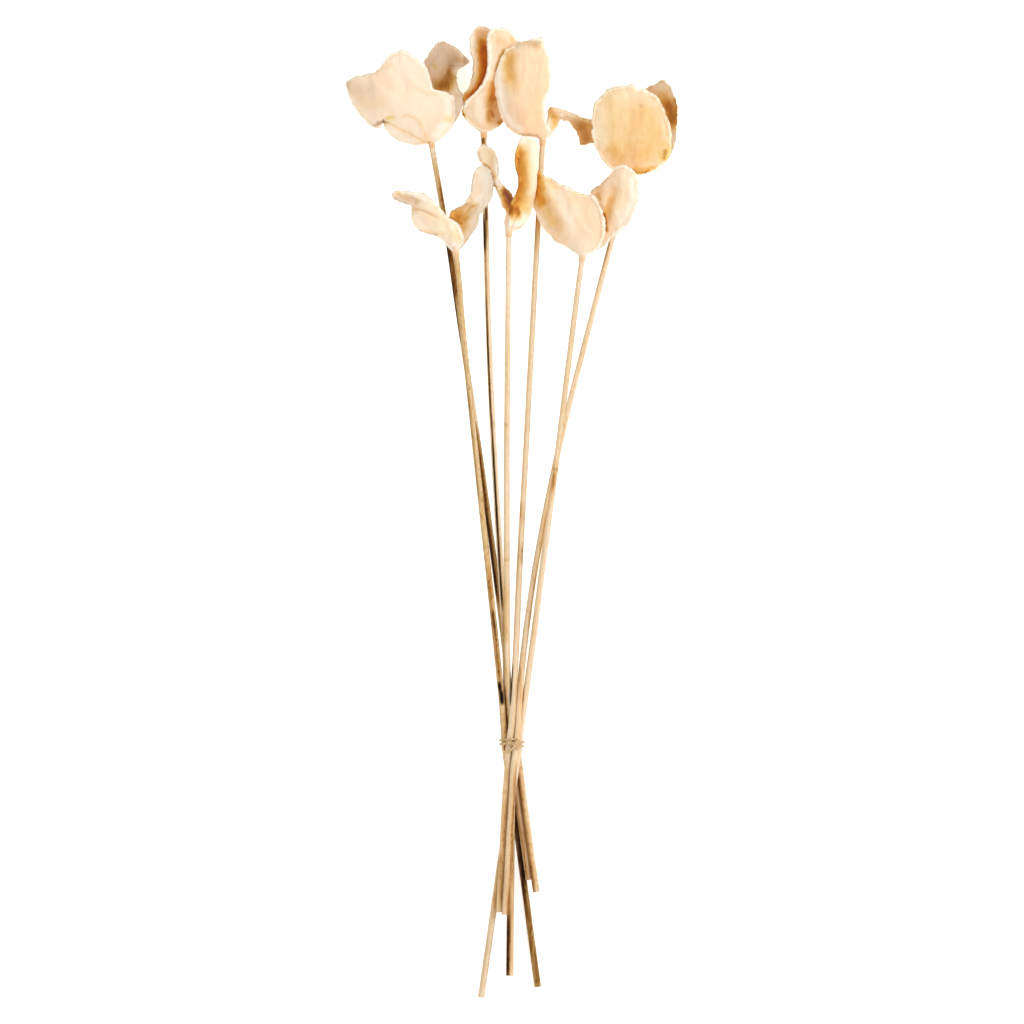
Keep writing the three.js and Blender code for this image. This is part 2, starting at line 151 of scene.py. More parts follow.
def mixColour(tree, factor, low, high, blend="MIX"):
    sockets = {0: factor, 6: low, 7: high}
    return addNode(tree, "ShaderNodeMix", sockets, data_type="RGBA", blend_type=blend).outputs[2]


def multiply(tree, a, b):
    return addNode(tree, "ShaderNodeMath", {0: a, 1: b}, operation="MULTIPLY").outputs[0]


def add(tree, a, b):
    return addNode(tree, "ShaderNodeMath", {0: a, 1: b}, operation="ADD").outputs[0]


def rangeOf(tree, value, low, high, toLow=0.0, toHigh=1.0):
    sockets = {0: value, 1: low, 2: high, 3: toLow, 4: toHigh}
    return addNode(tree, "ShaderNodeMapRange", sockets, interpolation_type="SMOOTHSTEP").outputs[0]


def cloudOf(tree, vector, scale, detail=2.0, roughness=0.5, distortion=0.0):
    sockets = {"Vector": vector, "Scale": scale, "Detail": detail, "Roughness": roughness,
               "Distortion": distortion}
    return addNode(tree, "ShaderNodeTexNoise", sockets).outputs["Fac"]


def objectPlace(tree):
    return addNode(tree, "ShaderNodeTexCoord").outputs["Object"]


def noiseTo(tree, value, low, high):  # a noise runs from about 0.3 to 0.7
    return rangeOf(tree, value, 0.3, 0.7, low, high)


def stretchPlace(tree, place, alongY):
    return addNode(tree, "ShaderNodeMapping", {"Vector": place, "Scale": (1.0, alongY, 1.0)}).outputs[0]


def newGroup(name, inputs, outputs):
    group = bpy.data.node_groups.new(name, "ShaderNodeTree")
    for label, kind, value in inputs:
        socket = group.interface.new_socket(name=label, in_out="INPUT", socket_type=kind)
        if value is not None:
            socket.default_value = value
    for label in outputs:
        group.interface.new_socket(name=label, in_out="OUTPUT", socket_type="NodeSocketFloat")
    return group, group.nodes.new("NodeGroupInput").outputs, group.nodes.new("NodeGroupOutput")


# Patches with soft ragged edges, for mottling and for the ragged strength of stains and painted shade
def makePatches():
    inputs = [("Vector", "NodeSocketVector", None), ("Scale", "NodeSocketFloat", 5.0),
              ("From", "NodeSocketFloat", 0.4), ("To", "NodeSocketFloat", 0.6)]
    group, given, result = newGroup("woodPatches", inputs, ["Mask"])
    cloud = cloudOf(group, given["Vector"], given["Scale"], detail=5.0, roughness=0.6, distortion=0.4)
    group.links.new(rangeOf(group, cloud, given["From"], given["To"]), result.inputs["Mask"])
    return group


# Fine fibres that run along the vector's second direction, with a height for the bump
fibreBuild = {"finer": 3.2, "coarseShare": 0.65, "fineShare": 0.35, "maskFrom": 0.36, "maskTo": 0.66}


def makeFibres(build):
    inputs = [("Vector", "NodeSocketVector", None), ("Scale", "NodeSocketFloat", 40.0),
              ("Stretch", "NodeSocketFloat", 0.06)]
    group, given, result = newGroup("woodFibres", inputs, ["Mask", "Height"])
    squeeze = addNode(group, "ShaderNodeCombineXYZ", {0: 1.0, 1: given["Stretch"], 2: 1.0}).outputs[0]
    sockets = {0: given["Vector"], 1: squeeze}
    long = addNode(group, "ShaderNodeVectorMath", sockets, operation="MULTIPLY").outputs[0]
    coarse = cloudOf(group, long, given["Scale"], detail=3.0, roughness=0.55)
    fine = cloudOf(group, long, multiply(group, given["Scale"], build["finer"]), roughness=0.6)
    coarseHeight = multiply(group, coarse, build["coarseShare"])
    height = add(group, coarseHeight, multiply(group, fine, build["fineShare"]))
    mask = rangeOf(group, coarse, build["maskFrom"], build["maskTo"])
    group.links.new(mask, result.inputs["Mask"])
    group.links.new(height, result.inputs["Height"])
    return group


woodPatches = makePatches()
woodFibres = makeFibres(fibreBuild)


def usePatches(tree, vector, scale, low, high):
    inputs = {"Vector": vector, "Scale": scale, "From": low, "To": high}
    return addNode(tree, "ShaderNodeGroup", inputs, node_tree=woodPatches).outputs["Mask"]


def useFibres(tree, vector, scale, stretch):
    inputs = {"Vector": vector, "Scale": scale, "Stretch": stretch}
    made = addNode(tree, "ShaderNodeGroup", inputs, node_tree=woodFibres)
    return made.outputs["Mask"], made.outputs["Height"]


def newMaterial(name, roughness, specular):
    material = bpy.data.materials.new(name)
    material.use_nodes = True
    tree = material.node_tree
    tree.nodes.clear()
    sockets = {"Roughness": roughness, "Specular IOR Level": specular}
    shader = addNode(tree, "ShaderNodeBsdfPrincipled", sockets)
    addNode(tree, "ShaderNodeOutputMaterial", {"Surface": shader.outputs[0]})
    return material, tree, shader


def attributeOf(tree, name):
    return addNode(tree, "ShaderNodeAttribute", attribute_name=name).outputs["Fac"]


# Stains and painted shade filter the wood's colour, deeper where there is more of them
def filterColour(tree, colour, tint, amount):
    filtered = addNode(tree, "ShaderNodeGamma", {"Color": tint, "Gamma": amount}).outputs[0]
    return mixColour(tree, 1.0, colour, filtered, "MULTIPLY")


def stainAndShadingColour(tree, colour, look, tones, ragged):
    for tone in tones:
        amount = multiply(tree, attributeOf(tree, tone + "StainAndShading"), ragged)
        colour = filterColour(tree, colour, look[tone], amount)
    return colour


def addBump(tree, shader, look, height):
    sockets = {"Strength": look["bump"], "Distance": look["bumpDepth"], "Height": height}
    bump = addNode(tree, "ShaderNodeBump", sockets).outputs[0]
    tree.links.new(bump, shader.inputs["Normal"])


def roughenWood(tree, shader, look, fibreHeight):
    rough = noiseTo(tree, fibreHeight, look["smoothest"], look["roughest"])
    tree.links.new(rough, shader.inputs["Roughness"])


# Bleached pod wood: cream with peach clouds and tan fibres; brown, orange, tan and grey marks are partly
# stain left in the hollows and partly painted shade, and pale marks are partly painted highlight.
# Patches are their scale and soft edges; fibres are their scale and stretch.
# tones that carry both the wood's stains and painted shade
stainAndShadingTones = ("tan", "yellow", "grey", "orange", "brown")
podWood = {
    "cream": (0.87, 0.70, 0.53, 1), "peach": (0.87, 0.635, 0.435, 1), "fibre": (0.62, 0.40, 0.20, 1),
    "pale": (0.95, 0.87, 0.76, 1), "tan": (0.89, 0.70, 0.47, 1), "yellow": (0.87, 0.76, 0.24, 1),
    "grey": (0.55, 0.49, 0.40, 1), "orange": (0.76, 0.405, 0.07, 1), "brown": (0.41, 0.18, 0.02, 1),
    "clouds": (38, 0.34, 0.7), "fibres": (26, 0.16), "fibreShare": 0.1,
    "flecks": (420, 0.66, 0.74), "fleckShare": 0.35, "raggedness": (160, 0.3, 0.7),
    "weakest": 0.86, "strongest": 1.1, "poreScale": 900.0, "poreShare": 0.35,
    "roughness": 0.62, "smoothest": 0.54, "roughest": 0.74, "specular": 0.28,
    "bump": 0.35, "bumpDepth": 0.0006,
}


def makePodMaterial(look):
    material, tree, shader = newMaterial("bleachedPodWood", look["roughness"], look["specular"])
    place = objectPlace(tree)
    valve = addNode(tree, "ShaderNodeUVMap", uv_map="valve").outputs[0]
    colour = mixColour(tree, usePatches(tree, place, *look["clouds"]), look["cream"], look["peach"])
    fibres, fibreHeight = useFibres(tree, valve, *look["fibres"])
    colour = mixColour(tree, multiply(tree, fibres, look["fibreShare"]), colour, look["fibre"])
    flecks = usePatches(tree, place, *look["flecks"])
    colour = mixColour(tree, multiply(tree, flecks, look["fleckShare"]), colour, look["fibre"])
    # pale marks are partly a paler wood tone and partly painted highlight; the rim lip is painted highlight
    for name in ("paleStainAndShading", "rimHighlight"):
        colour = mixColour(tree, attributeOf(tree, name), colour, look["pale"])
    ragged = usePatches(tree, place, *look["raggedness"])
    ragged = rangeOf(tree, ragged, 0, 1, look["weakest"], look["strongest"])
    # stains and painted shade darken the wood
    colour = stainAndShadingColour(tree, colour, look, stainAndShadingTones, ragged)
    tree.links.new(colour, shader.inputs["Base Color"])
    roughenWood(tree, shader, look, fibreHeight)
    pores = cloudOf(tree, place, look["poreScale"], detail=3.0)
    addBump(tree, shader, look, add(tree, fibreHeight, multiply(tree, pores, look["poreShare"])))
    return material


podMaterial = makePodMaterial(podWood)


# What is drawn on a valve lies along a path seen from above; widths, rises and reaches are in millimetres.
# Marks are the wood's own stains, painted shade in hollows, creases and turned-away flanks, and painted
# highlight where they are pale
def stainAndShading(tone, width, amount, *path):
    return {"tone": tone, "width": width, "amount": amount, "path": path}


def fold(width, rise, *path):
    return {"width": width, "amount": rise, "path": path}


def ledge(width, rise, reach, *path):  # a step that is high on the left of its path
    return {"width": width, "rise": rise, "reach": reach, "path": path}


# A rim runs from the neck up the left edge to the tip and back down the right edge
pod1Front = {  # far left: the broad valve that leans outwards
    "rim": [
        [-50, 530.5, 24], [-57.5, 530.2, 22.5], [-66.5, 530.6, 22], [-72.5, 533, 23], [-76.5, 536.2, 24.2],
        [-79.8, 537.6, 25], [-83.2, 538.9, 26], [-86.5, 540.4, 26.8], [-90.5, 543.6, 27.6],
        [-95, 548.8, 29], [-99.8, 557, 30], [-102.7, 566.8, 30.4], [-96.5, 571.6, 33], [-88, 572.5, 36],
        [-82, 576.5, 37], [-77.5, 583, 38], [-72.5, 587, 38.5], [-66.5, 587.5, 39], [-60, 583, 38.5],
        [-54, 579, 37.5], [-51, 571.5, 36], [-48.5, 564, 34], [-42, 562, 32], [-39, 560.8, 31],
        [-36, 558.5, 29.5], [-34.5, 550.5, 27.5], [-35.2, 545.5, 26.6], [-37, 540.5, 26],
        [-39.8, 536.8, 25.4], [-43.5, 533.5, 25],
    ],
    "belly": [4, 8, 10, 8, 4], "skew": 0.2,
    # marks: tan and grey are painted shade along the crease and the turned-away left edges; pale is painted
    # highlight; the brown neck spot and the yellow and orange spots are the wood's own
    "stainsAndShading": [
        stainAndShading("tan", 0.9, 0.8, (-79.5, 543.5), (-75, 542), (-69.5, 539), (-63, 535.5), (-57, 532.5),
              (-52.5, 530.5)),
        stainAndShading("grey", 0.9, 1, (-84.5, 541.5), (-81.5, 543.5), (-78, 543.5)),
        stainAndShading("grey", 1, 0.5, (-93, 543.5), (-90, 542), (-85.5, 541.5)),
        stainAndShading("grey", 2.4, 0.6, (-102.5, 568), (-102, 565)),
        stainAndShading("grey", 4.5, 0.2, (-98.5, 564), (-93, 563), (-87, 562.5)),
        stainAndShading("grey", 1.2, 0.4, (-99, 570.5), (-92, 572.5), (-84.5, 574.5)),
        stainAndShading("tan", 4, 0.2, (-98.5, 560.5), (-93, 556), (-87, 554.5), (-79.5, 555.5)),
        stainAndShading("tan", 1.6, 0.3, (-79.5, 577), (-74.5, 578)),
        stainAndShading("yellow", 1.3, 0.7, (-76.5, 546), (-74.5, 546)),
        stainAndShading("orange", 2.4, 0.2, (-40.5, 545.5), (-39, 545)),
        stainAndShading("brown", 0.8, 0.8, (-51, 530.5), (-50.5, 530.5)),
        stainAndShading("tan", 1, 0.4, (-67, 547.5), (-62, 547), (-58.5, 544.5), (-56, 540.5), (-54, 535.5),
              (-52, 531.5)),
        stainAndShading("tan", 1.3, 0.3, (-62.5, 568.5), (-59, 564), (-53.5, 561), (-47, 560)),
        stainAndShading("tan", 6, 0.16, (-79.5, 569), (-72, 565.5), (-64.5, 559)),
        stainAndShading("pale", 2.5, 0.6, (-74.5, 537), (-68, 533), (-61, 531.5)),
        stainAndShading("pale", 3, 0.7, (-99, 558), (-96, 550.5), (-92, 545.5)),
        stainAndShading("pale", 4.5, 1, (-39, 559), (-38.5, 550.5), (-41, 542), (-46, 535)),
    ],
    "folds": [
        fold(1.4, 0.35, (-70.5, 547.5), (-64.5, 548.5), (-59, 546), (-56.5, 541.5), (-54.5, 535.5),
             (-52.5, 531.5)),
        fold(2.2, 0.9, (-64, 570.5), (-61.5, 566), (-57, 563), (-52, 560.5), (-46.5, 560.5)),
        fold(2.5, 0.6, (-99, 564), (-92, 559), (-84.5, 557.5), (-77, 558.5)),
        fold(3, -0.7, (-70.5, 571.5), (-67, 565.5), (-68, 558)),
        fold(1.8, 0.5, (-87, 571.5), (-83, 564), (-77, 560.5)),
    ],
    "ledges": [
        ledge(0.7, 1.2, 5, (-52.5, 530.5), (-57, 532.5), (-63, 535.5), (-69.5, 539), (-75, 542),
              (-79.5, 543.5)),
    ],
    "dents": [{"x": -79.6, "y": 537.6, "wide": 2.5, "tall": 6.5, "push": 6}],
}
pod1Back = {  # the darker valve behind it
    "rim": [
        [-49.5, 531.5, 22], [-55, 534, 20], [-60, 537, 16], [-64, 544.5, 12.5], [-65, 552.5, 10],
        [-63, 561.5, 9.5], [-59.5, 571, 10.5], [-55, 579.5, 14], [-51, 586.5, 19], [-47.5, 591, 23],
        [-44, 593.5, 25], [-39, 592, 24], [-33.5, 588.5, 22], [-29, 584, 20], [-26.5, 580.5, 18.5],
        [-30.5, 577, 17.5], [-32.5, 571, 17.5], [-32, 564, 18], [-30, 557, 19], [-36, 542, 19],
    ],
    "belly": [-4, -11.5, -13.5, -6.5], "skew": 0.6,
    # marks: brown, grey, tan and orange are painted shade in the hollow of the cup; pale is painted
    # highlight on its top and right wall
    "stainsAndShading": [
        stainAndShading("brown", 4, 0.6, (-44.5, 565.5), (-41, 566.5), (-38.5, 569)),
        stainAndShading("brown", 1.6, 0.5, (-38.5, 574), (-38, 568), (-39, 564)),
        stainAndShading("grey", 1.8, 0.35, (-49.5, 569), (-47, 564)),
        stainAndShading("tan", 2.6, 0.7, (-38, 576.5), (-36.5, 571.5)),
        stainAndShading("pale", 8, 1, (-48.5, 588), (-44.5, 583)),
        stainAndShading("grey", 4.5, 0.5, (-37, 581.5), (-38, 573), (-40.5, 566.5)),
        stainAndShading("pale", 4, 0.8, (-51, 581.5), (-48.5, 576.5)),
        stainAndShading("orange", 1.6, 0.35, (-39, 568), (-38.5, 564)),
        stainAndShading("yellow", 1.3, 0.4, (-48.5, 579), (-47, 577)),
        stainAndShading("grey", 1.3, 0.7, (-28.5, 583), (-28, 580.5)),
        stainAndShading("tan", 1.6, 0.5, (-33.5, 583), (-30, 580.5)),
        stainAndShading("pale", 4.6, 1, (-33.5, 575.5), (-33.5, 566.5), (-32, 559), (-31.5, 552)),
    ],
    "folds": [
        fold(3.4, 3.6, (-34, 574), (-34.5, 568), (-34, 560.5)),
        fold(1.4, 0.6, (-41, 589), (-40.5, 581.5), (-41.5, 574)),
    ],
}
pod2Front = {  # top, left of the middle: the long valve
    "rim": [
        [-17.5, 537, 28], [-22.5, 539, 29.5], [-27, 543.5, 31.5], [-31, 548.5, 33.5], [-30, 553, 36.5],
        [-27.5, 557.5, 39.5], [-22, 562.5, 41.5], [-18, 568.5, 43.5], [-15.3, 577, 45], [-15.2, 587, 45.5],
        [-15.2, 596.5, 44.5], [-9.5, 602.5, 42.5], [-2.5, 600, 39.5], [3.5, 593.5, 36], [0, 588, 33],
        [-2.5, 581, 31], [-3.5, 573, 28.5], [-3, 564, 26], [-2.5, 556, 25], [-3.5, 548.5, 24],
        [-6, 542.5, 24], [-12, 538.5, 26.5],
    ],
    "belly": [2, 4, 4, 3, 3, 2], "skew": 0.3,
    # marks: brown, orange, tan and grey are painted shade on the right half of the lower bulb and down the
    # valve; pale is painted highlight
    "stainsAndShading": [
        stainAndShading("orange", 2.4, 0.9, (-12, 566.5), (-12.5, 561.5), (-13, 558)),
        stainAndShading("tan", 5, 1, (-11, 560.5), (-11, 552), (-10.5, 544.5)),
        stainAndShading("brown", 2.2, 0.4, (-13.5, 557.5), (-14, 550.5), (-14.5, 545)),
        stainAndShading("brown", 1, 0.7, (-12.5, 549.5), (-12, 547.5)),
        stainAndShading("brown", 1.3, 0.6, (-8, 542.5), (-6, 543.5)),
        stainAndShading("grey", 2.4, 0.35, (-10.5, 558), (-9.5, 549.5), (-8.5, 544.5)),
        stainAndShading("brown", 1.2, 1, (-31.5, 553.5), (-31, 549.5), (-30, 546)),
        stainAndShading("pale", 1.7, 0.8, (-14.5, 597), (-14.5, 588), (-14, 579), (-15, 570.5)),
        stainAndShading("tan", 3.2, 0.5, (-8, 594), (-5, 592), (-2.5, 589.5)),
        stainAndShading("yellow", 1.2, 0.5, (-0.5, 594.5), (0.5, 594)),
        stainAndShading("brown", 1.3, 0.6, (-5, 587), (-7.5, 581.5), (-9.5, 575.5), (-10.5, 568)),
        stainAndShading("tan", 2.6, 0.2, (-25, 543), (-20, 539.5), (-13.5, 539.5)),
        stainAndShading("pale", 3, 0.6, (-20.5, 559), (-19, 552), (-18.5, 545.5)),
    ],
    "folds": [
        fold(2.2, 1, (-13.5, 597.5), (-14, 588), (-13.5, 579), (-15, 569), (-18.5, 560.5)),
        fold(1.8, -0.8, (-9.5, 594), (-10.5, 584.5), (-10.5, 575.5)),
        fold(2, -0.7, (-12, 564), (-12.5, 554.5), (-12, 544.5)),
        fold(1.6, 0.5, (-23.5, 552), (-21.5, 545.5), (-18, 540.5)),
    ],
}
pod2Back = {  # the orange trough behind it
    "rim": [
        [-18, 537, 26], [-23.5, 540, 21], [-28, 545, 20], [-30, 551, 22], [-29, 557, 25.5],
        [-26.5, 564, 30.5], [-25, 571.5, 33], [-25, 580.5, 35], [-26.5, 588.5, 36], [-26, 597, 36],
        [-20.5, 603, 34], [-13.5, 600.5, 30], [-10, 592.5, 23.5], [-8, 584.5, 18], [-6.5, 576, 14],
        [-6, 568, 11.5], [-7, 560, 10.5], [-8, 553, 11.5], [-9.5, 546, 14.5], [-13, 540, 20],
    ],
    "belly": [-3, -5, -6, -5, -3], "skew": 0,
    # marks: the orange, brown, yellow and tan down the trough are painted shade; pale is painted highlight
    # on its lit left rim
    "stainsAndShading": [
        stainAndShading("orange", 2.8, 1.5, (-17.5, 591.5), (-18.5, 585.5), (-18, 579), (-18.5, 573), (-20, 566.5),
              (-23.5, 561.5), (-27.5, 558)),
        stainAndShading("brown", 1.6, 0.5, (-16.5, 590), (-16, 580.5), (-17, 573), (-19.5, 566.5), (-23, 562.5),
              (-26.5, 558.5)),
        stainAndShading("yellow", 3, 0.5, (-18.5, 588), (-18.5, 578), (-20, 569)),
        stainAndShading("brown", 2.6, 0.3, (-20, 594), (-19, 588)),
        stainAndShading("tan", 4, 0.6, (-20.5, 599.5), (-17.5, 597.5)),
        stainAndShading("pale", 2.4, 1, (-25, 594), (-25, 586.5), (-23.5, 579), (-24, 571.5), (-26, 564)),
        stainAndShading("yellow", 1.8, 0.4, (-23.5, 559), (-22.5, 558)),
    ],
    "folds": [
        fold(4.2, -3, (-18, 595), (-19, 590), (-18.5, 583), (-18.5, 575.5), (-20, 569), (-23, 563.5),
             (-26, 559)),
        fold(1.6, 1.2, (-25, 595), (-25, 586.5), (-24, 578), (-24, 570.5), (-26.5, 563)),
    ],
}
pod3Front = {  # top, right of the middle: the broad valve
    "rim": [
        [19, 533, 30], [13.5, 535, 31], [5.5, 535.5, 33], [-0.5, 538, 35], [-5.5, 543.5, 37.5],
        [-8, 552, 40.5], [-10, 561, 43], [-10.5, 570.5, 44], [-8, 579.5, 44.5], [-4.5, 587, 44.5],
        [0, 590, 44], [5.5, 592.5, 42.5], [12.5, 593, 42], [18.5, 595.5, 41], [20.5, 590, 41],
        [23, 583.5, 41], [24, 573.5, 41], [24, 565, 41], [21.5, 560, 40], [20, 555.5, 38.5], [20, 550, 37],
        [21.5, 543, 34.5], [24, 538, 32.5], [22.5, 534, 31],
    ],
    "belly": [3, 6, 7, 6, 3], "skew": 0.45,
    # marks: orange, tan and grey are painted shade in the hollow at the upper left and along the turned top
    # and bottom edges; pale is painted highlight along the rims
    "stainsAndShading": [
        stainAndShading("orange", 3.8, 0.42, (-1, 583), (-2, 577), (-1, 570.5)),
        stainAndShading("tan", 4.5, 0.45, (0, 584), (-0.5, 575.5), (1, 566.5)),
        stainAndShading("tan", 9, 0.3, (13.5, 584.5), (13, 569), (13, 553.5), (14.5, 543)),
        stainAndShading("grey", 0.9, 0.6, (7.5, 592.5), (12.5, 593), (17.5, 592.5)),
        stainAndShading("grey", 2.6, 0.45, (3.5, 591), (10, 591.5), (15.5, 591)),
        stainAndShading("orange", 4, 0.12, (0.5, 575.5), (2, 564)),
        stainAndShading("tan", 2.2, 0.6, (13.5, 591), (15, 589.5)),
        stainAndShading("tan", 3, 0.35, (10.5, 588.5), (14.5, 586)),
        stainAndShading("pale", 2.4, 0.8, (-5, 584), (-7.5, 574), (-8, 564), (-6, 554.5), (-2, 544.5), (4.5, 539)),
        stainAndShading("pale", 1.8, 0.9, (21.5, 560), (21, 550.5), (21.5, 543), (23, 539.5)),
        stainAndShading("grey", 0.9, 0.6, (5.5, 535.5), (10.5, 535.5), (15, 535)),
        stainAndShading("grey", 0.8, 0.7, (16.5, 534.5), (17.5, 530)),
        stainAndShading("tan", 2.6, 0.3, (11, 549.5), (13.5, 540.5)),
    ],
    "folds": [
        fold(1.2, 0.5, (-5.5, 583), (-8, 575.5), (-8.5, 566.5), (-7.5, 558), (-5, 549.5), (-0.5, 542),
             (5, 538)),
        fold(3.5, -1, (-1, 584), (-2.5, 576.5), (-1, 568)),
        fold(2.2, 0.7, (19, 581.5), (18.5, 570.5), (16, 560.5), (16, 550.5)),
        fold(1.6, 0.3, (8.5, 581.5), (7.5, 569), (10, 557)),
    ],
}
pod3Back = {  # the valve that arches to the right
    "rim": [
        [20.5, 533, 28], [21, 539, 27.5], [22, 545.5, 27], [23, 552, 28], [27.5, 552, 28], [33, 550.5, 28],
        [39, 548.5, 27.5], [44.5, 546, 26], [50, 544.5, 24.5], [56, 541.5, 21], [56.5, 531.5, 14],
        [49.5, 530.5, 11], [43, 529.5, 10.5], [42, 534, 12.5], [40, 539, 15], [36.5, 543, 18],
        [32.5, 545.5, 20], [29, 544, 21], [27.5, 540.5, 22], [24.5, 536, 25],
    ],
    "belly": [1, 1, 1, 2, 2], "skew": 0,
    # marks: brown, grey and tan are painted shade on the underside of the arching flap; pale is painted
    # highlight along its top rim
    "stainsAndShading": [
        stainAndShading("tan", 3, 0.8, (25.5, 550.5), (26.5, 545.5)),
        stainAndShading("brown", 1.6, 0.35, (24, 551), (25, 547)),
        stainAndShading("yellow", 1.5, 0.6, (26.5, 545.5), (26, 540)),
        stainAndShading("tan", 1.3, 0.4, (28, 550.5), (34, 549), (40.5, 547)),
        stainAndShading("brown", 5, 0.5, (44, 541.5), (46, 537), (46.5, 531.5)),
        stainAndShading("grey", 5, 0.25, (38.5, 543.5), (43, 538), (45.5, 531.5)),
        stainAndShading("tan", 5, 0.5, (36, 545), (41, 540), (44.5, 533)),
        stainAndShading("brown", 1, 0.4, (48.5, 543.5), (49.5, 537.5), (50, 531.5)),
        stainAndShading("pale", 1.3, 1, (30.5, 548.5), (36, 548), (41, 546.5), (48.5, 543.5)),
    ],
    "folds": [
        fold(1.1, 0.9, (33, 546.5), (37, 548), (44, 546), (49, 544)),
        fold(2, -0.8, (36, 545.5), (42, 543.5), (47, 542)),
        fold(1.4, 0.5, (44, 542), (46, 535.5), (46.5, 530.5)),
    ],
}
pod4Front = {  # far right: the round flat valve
    "rim": [
        [73, 513, 28], [67, 513.5, 28.5], [61.5, 514.5, 29.5], [56.5, 519, 31.5], [53.5, 525, 34.5],
        [50.5, 531, 37], [49.5, 538.5, 38.5], [49.5, 547, 40], [51, 554.5, 41.5], [56, 560, 42],
        [59.5, 564, 42], [66.5, 565.5, 42], [74, 566.5, 41], [78.5, 564, 40], [84.5, 563, 39],
        [90, 558, 37.5], [94, 551, 36.5], [97, 543, 35], [98.5, 535.5, 33.5], [99, 528, 32],
        [97.5, 522, 30.5], [93, 516.5, 29], [85.5, 512.5, 28], [78.5, 511, 27.5],
    ],
    "belly": [2, 4, 4, 2], "skew": 0.1,
    # marks: the broad tan, yellow and orange clouds are the valve's own colour; the thin tan, grey and brown
    # lines along the rim are painted shade and the pale patches painted highlight
    "stainsAndShading": [
        stainAndShading("tan", 17, 0.3, (68, 549.5), (74.5, 528)),
        stainAndShading("yellow", 9, 0.22, (62, 553.5), (63, 541.5), (65.5, 530.5)),
        stainAndShading("orange", 10, 0.28, (82, 545.5), (87, 533), (80.5, 524.5)),
        stainAndShading("orange", 4.5, 0.25, (62.5, 526), (66.5, 522)),
        stainAndShading("tan", 6.5, 0.4, (62, 522), (67, 521), (70.5, 521.5)),
        stainAndShading("tan", 1, 0.7, (63, 517), (66.5, 516.5), (69.5, 517.5)),
        stainAndShading("orange", 2.4, 0.55, (77, 514.5), (82, 513.5), (87, 514.5)),
        stainAndShading("brown", 0.8, 0.5, (74, 514.5), (78, 512), (84.5, 512.5)),
        stainAndShading("yellow", 1.7, 0.6, (98, 527), (97, 523.5), (95.5, 519.5)),
        stainAndShading("brown", 1.2, 0.5, (95, 525), (94, 521)),
        stainAndShading("yellow", 1.2, 0.35, (91.5, 526), (92, 519.5)),
        stainAndShading("yellow", 1.3, 0.35, (94, 530), (95, 528)),
        stainAndShading("grey", 1.1, 0.35, (56, 559), (59.5, 563.5), (65.5, 565)),
        stainAndShading("tan", 1, 0.55, (87, 559), (90.5, 555), (93.5, 548.5), (95.5, 542), (96, 535.5)),
        stainAndShading("tan", 1.1, 0.5, (72.5, 537.5), (74, 536.5)),
        stainAndShading("grey", 0.8, 0.5, (79.5, 553.5), (80.5, 553)),
        stainAndShading("pale", 4.5, 0.4, (53.5, 549.5), (53.5, 539.5), (57, 532)),
        stainAndShading("pale", 5, 0.3, (67, 557), (68, 547)),
    ],
    "folds": [
        fold(2.4, 0.4, (63, 558), (63, 547), (65.5, 535.5), (67, 526)),
        fold(2.2, -0.3, (71.5, 557), (73, 547), (72, 535.5)),
        fold(2.6, 0.4, (80, 554.5), (81, 542), (78, 528), (79.5, 519.5)),
        fold(1.8, -0.3, (88.5, 549.5), (90.5, 538), (89.5, 526)),
        fold(1.1, 0.7, (86, 561), (92, 555), (95.5, 547), (97.5, 538), (97.5, 529.5)),
        fold(2.4, -0.8, (62, 519.5), (68, 518.5), (73, 519.5)),
    ],
}
pod4Back = {  # the darker valve behind it
    "rim": [
        [74, 513, 25.5], [69.5, 517, 21], [66.5, 522, 16.5], [64, 529, 13.5], [63, 537, 11],
        [64.5, 545.5, 9.5], [68, 553, 10], [74.5, 560, 13], [81, 563.5, 17], [87.5, 566.5, 20.5],
        [92.5, 569.5, 24], [97.5, 567, 24.5], [100.5, 561.5, 24], [102.5, 555, 23.5], [103, 548, 22.5],
        [102.5, 540.5, 21], [102, 534, 19], [100.5, 526.5, 18], [96.5, 519.5, 18], [88.5, 514, 19.5],
    ],
    "belly": [-6, -12.5, -14.5, -8], "skew": 0,
    # marks: brown, orange, grey and tan are painted shade in the cup behind the front valve; pale is painted
    # highlight on its rim
    "stainsAndShading": [
        stainAndShading("brown", 3.2, 0.42, (96.5, 555), (99, 550), (100.5, 543)),
        stainAndShading("orange", 5, 0.4, (94, 558), (97.5, 553), (99, 544.5)),
        stainAndShading("grey", 2.6, 0.5, (98.5, 553), (100.5, 545.5)),
        stainAndShading("brown", 1.1, 0.6, (101.5, 557.5), (102.5, 552), (102, 544.5)),
        stainAndShading("orange", 2.2, 0.35, (92.5, 560.5), (94, 558)),
        stainAndShading("tan", 4, 0.25, (85.5, 563.5), (89.5, 561.5), (92, 559)),
        stainAndShading("pale", 6, 1, (90.5, 566.5), (95, 564), (98, 560)),
        stainAndShading("pale", 3, 0.8, (100.5, 537), (99, 530.5)),
        stainAndShading("grey", 1, 0.4, (84.5, 564), (88, 566.5), (92, 568.5)),
    ],
    "folds": [
        fold(1.4, 0.6, (89.5, 566.5), (92.5, 560.5), (93.5, 554.5)),
        fold(1.2, 0.8, (96.5, 566.5), (100.5, 559), (101.5, 550.5), (101, 540.5)),
    ],
}
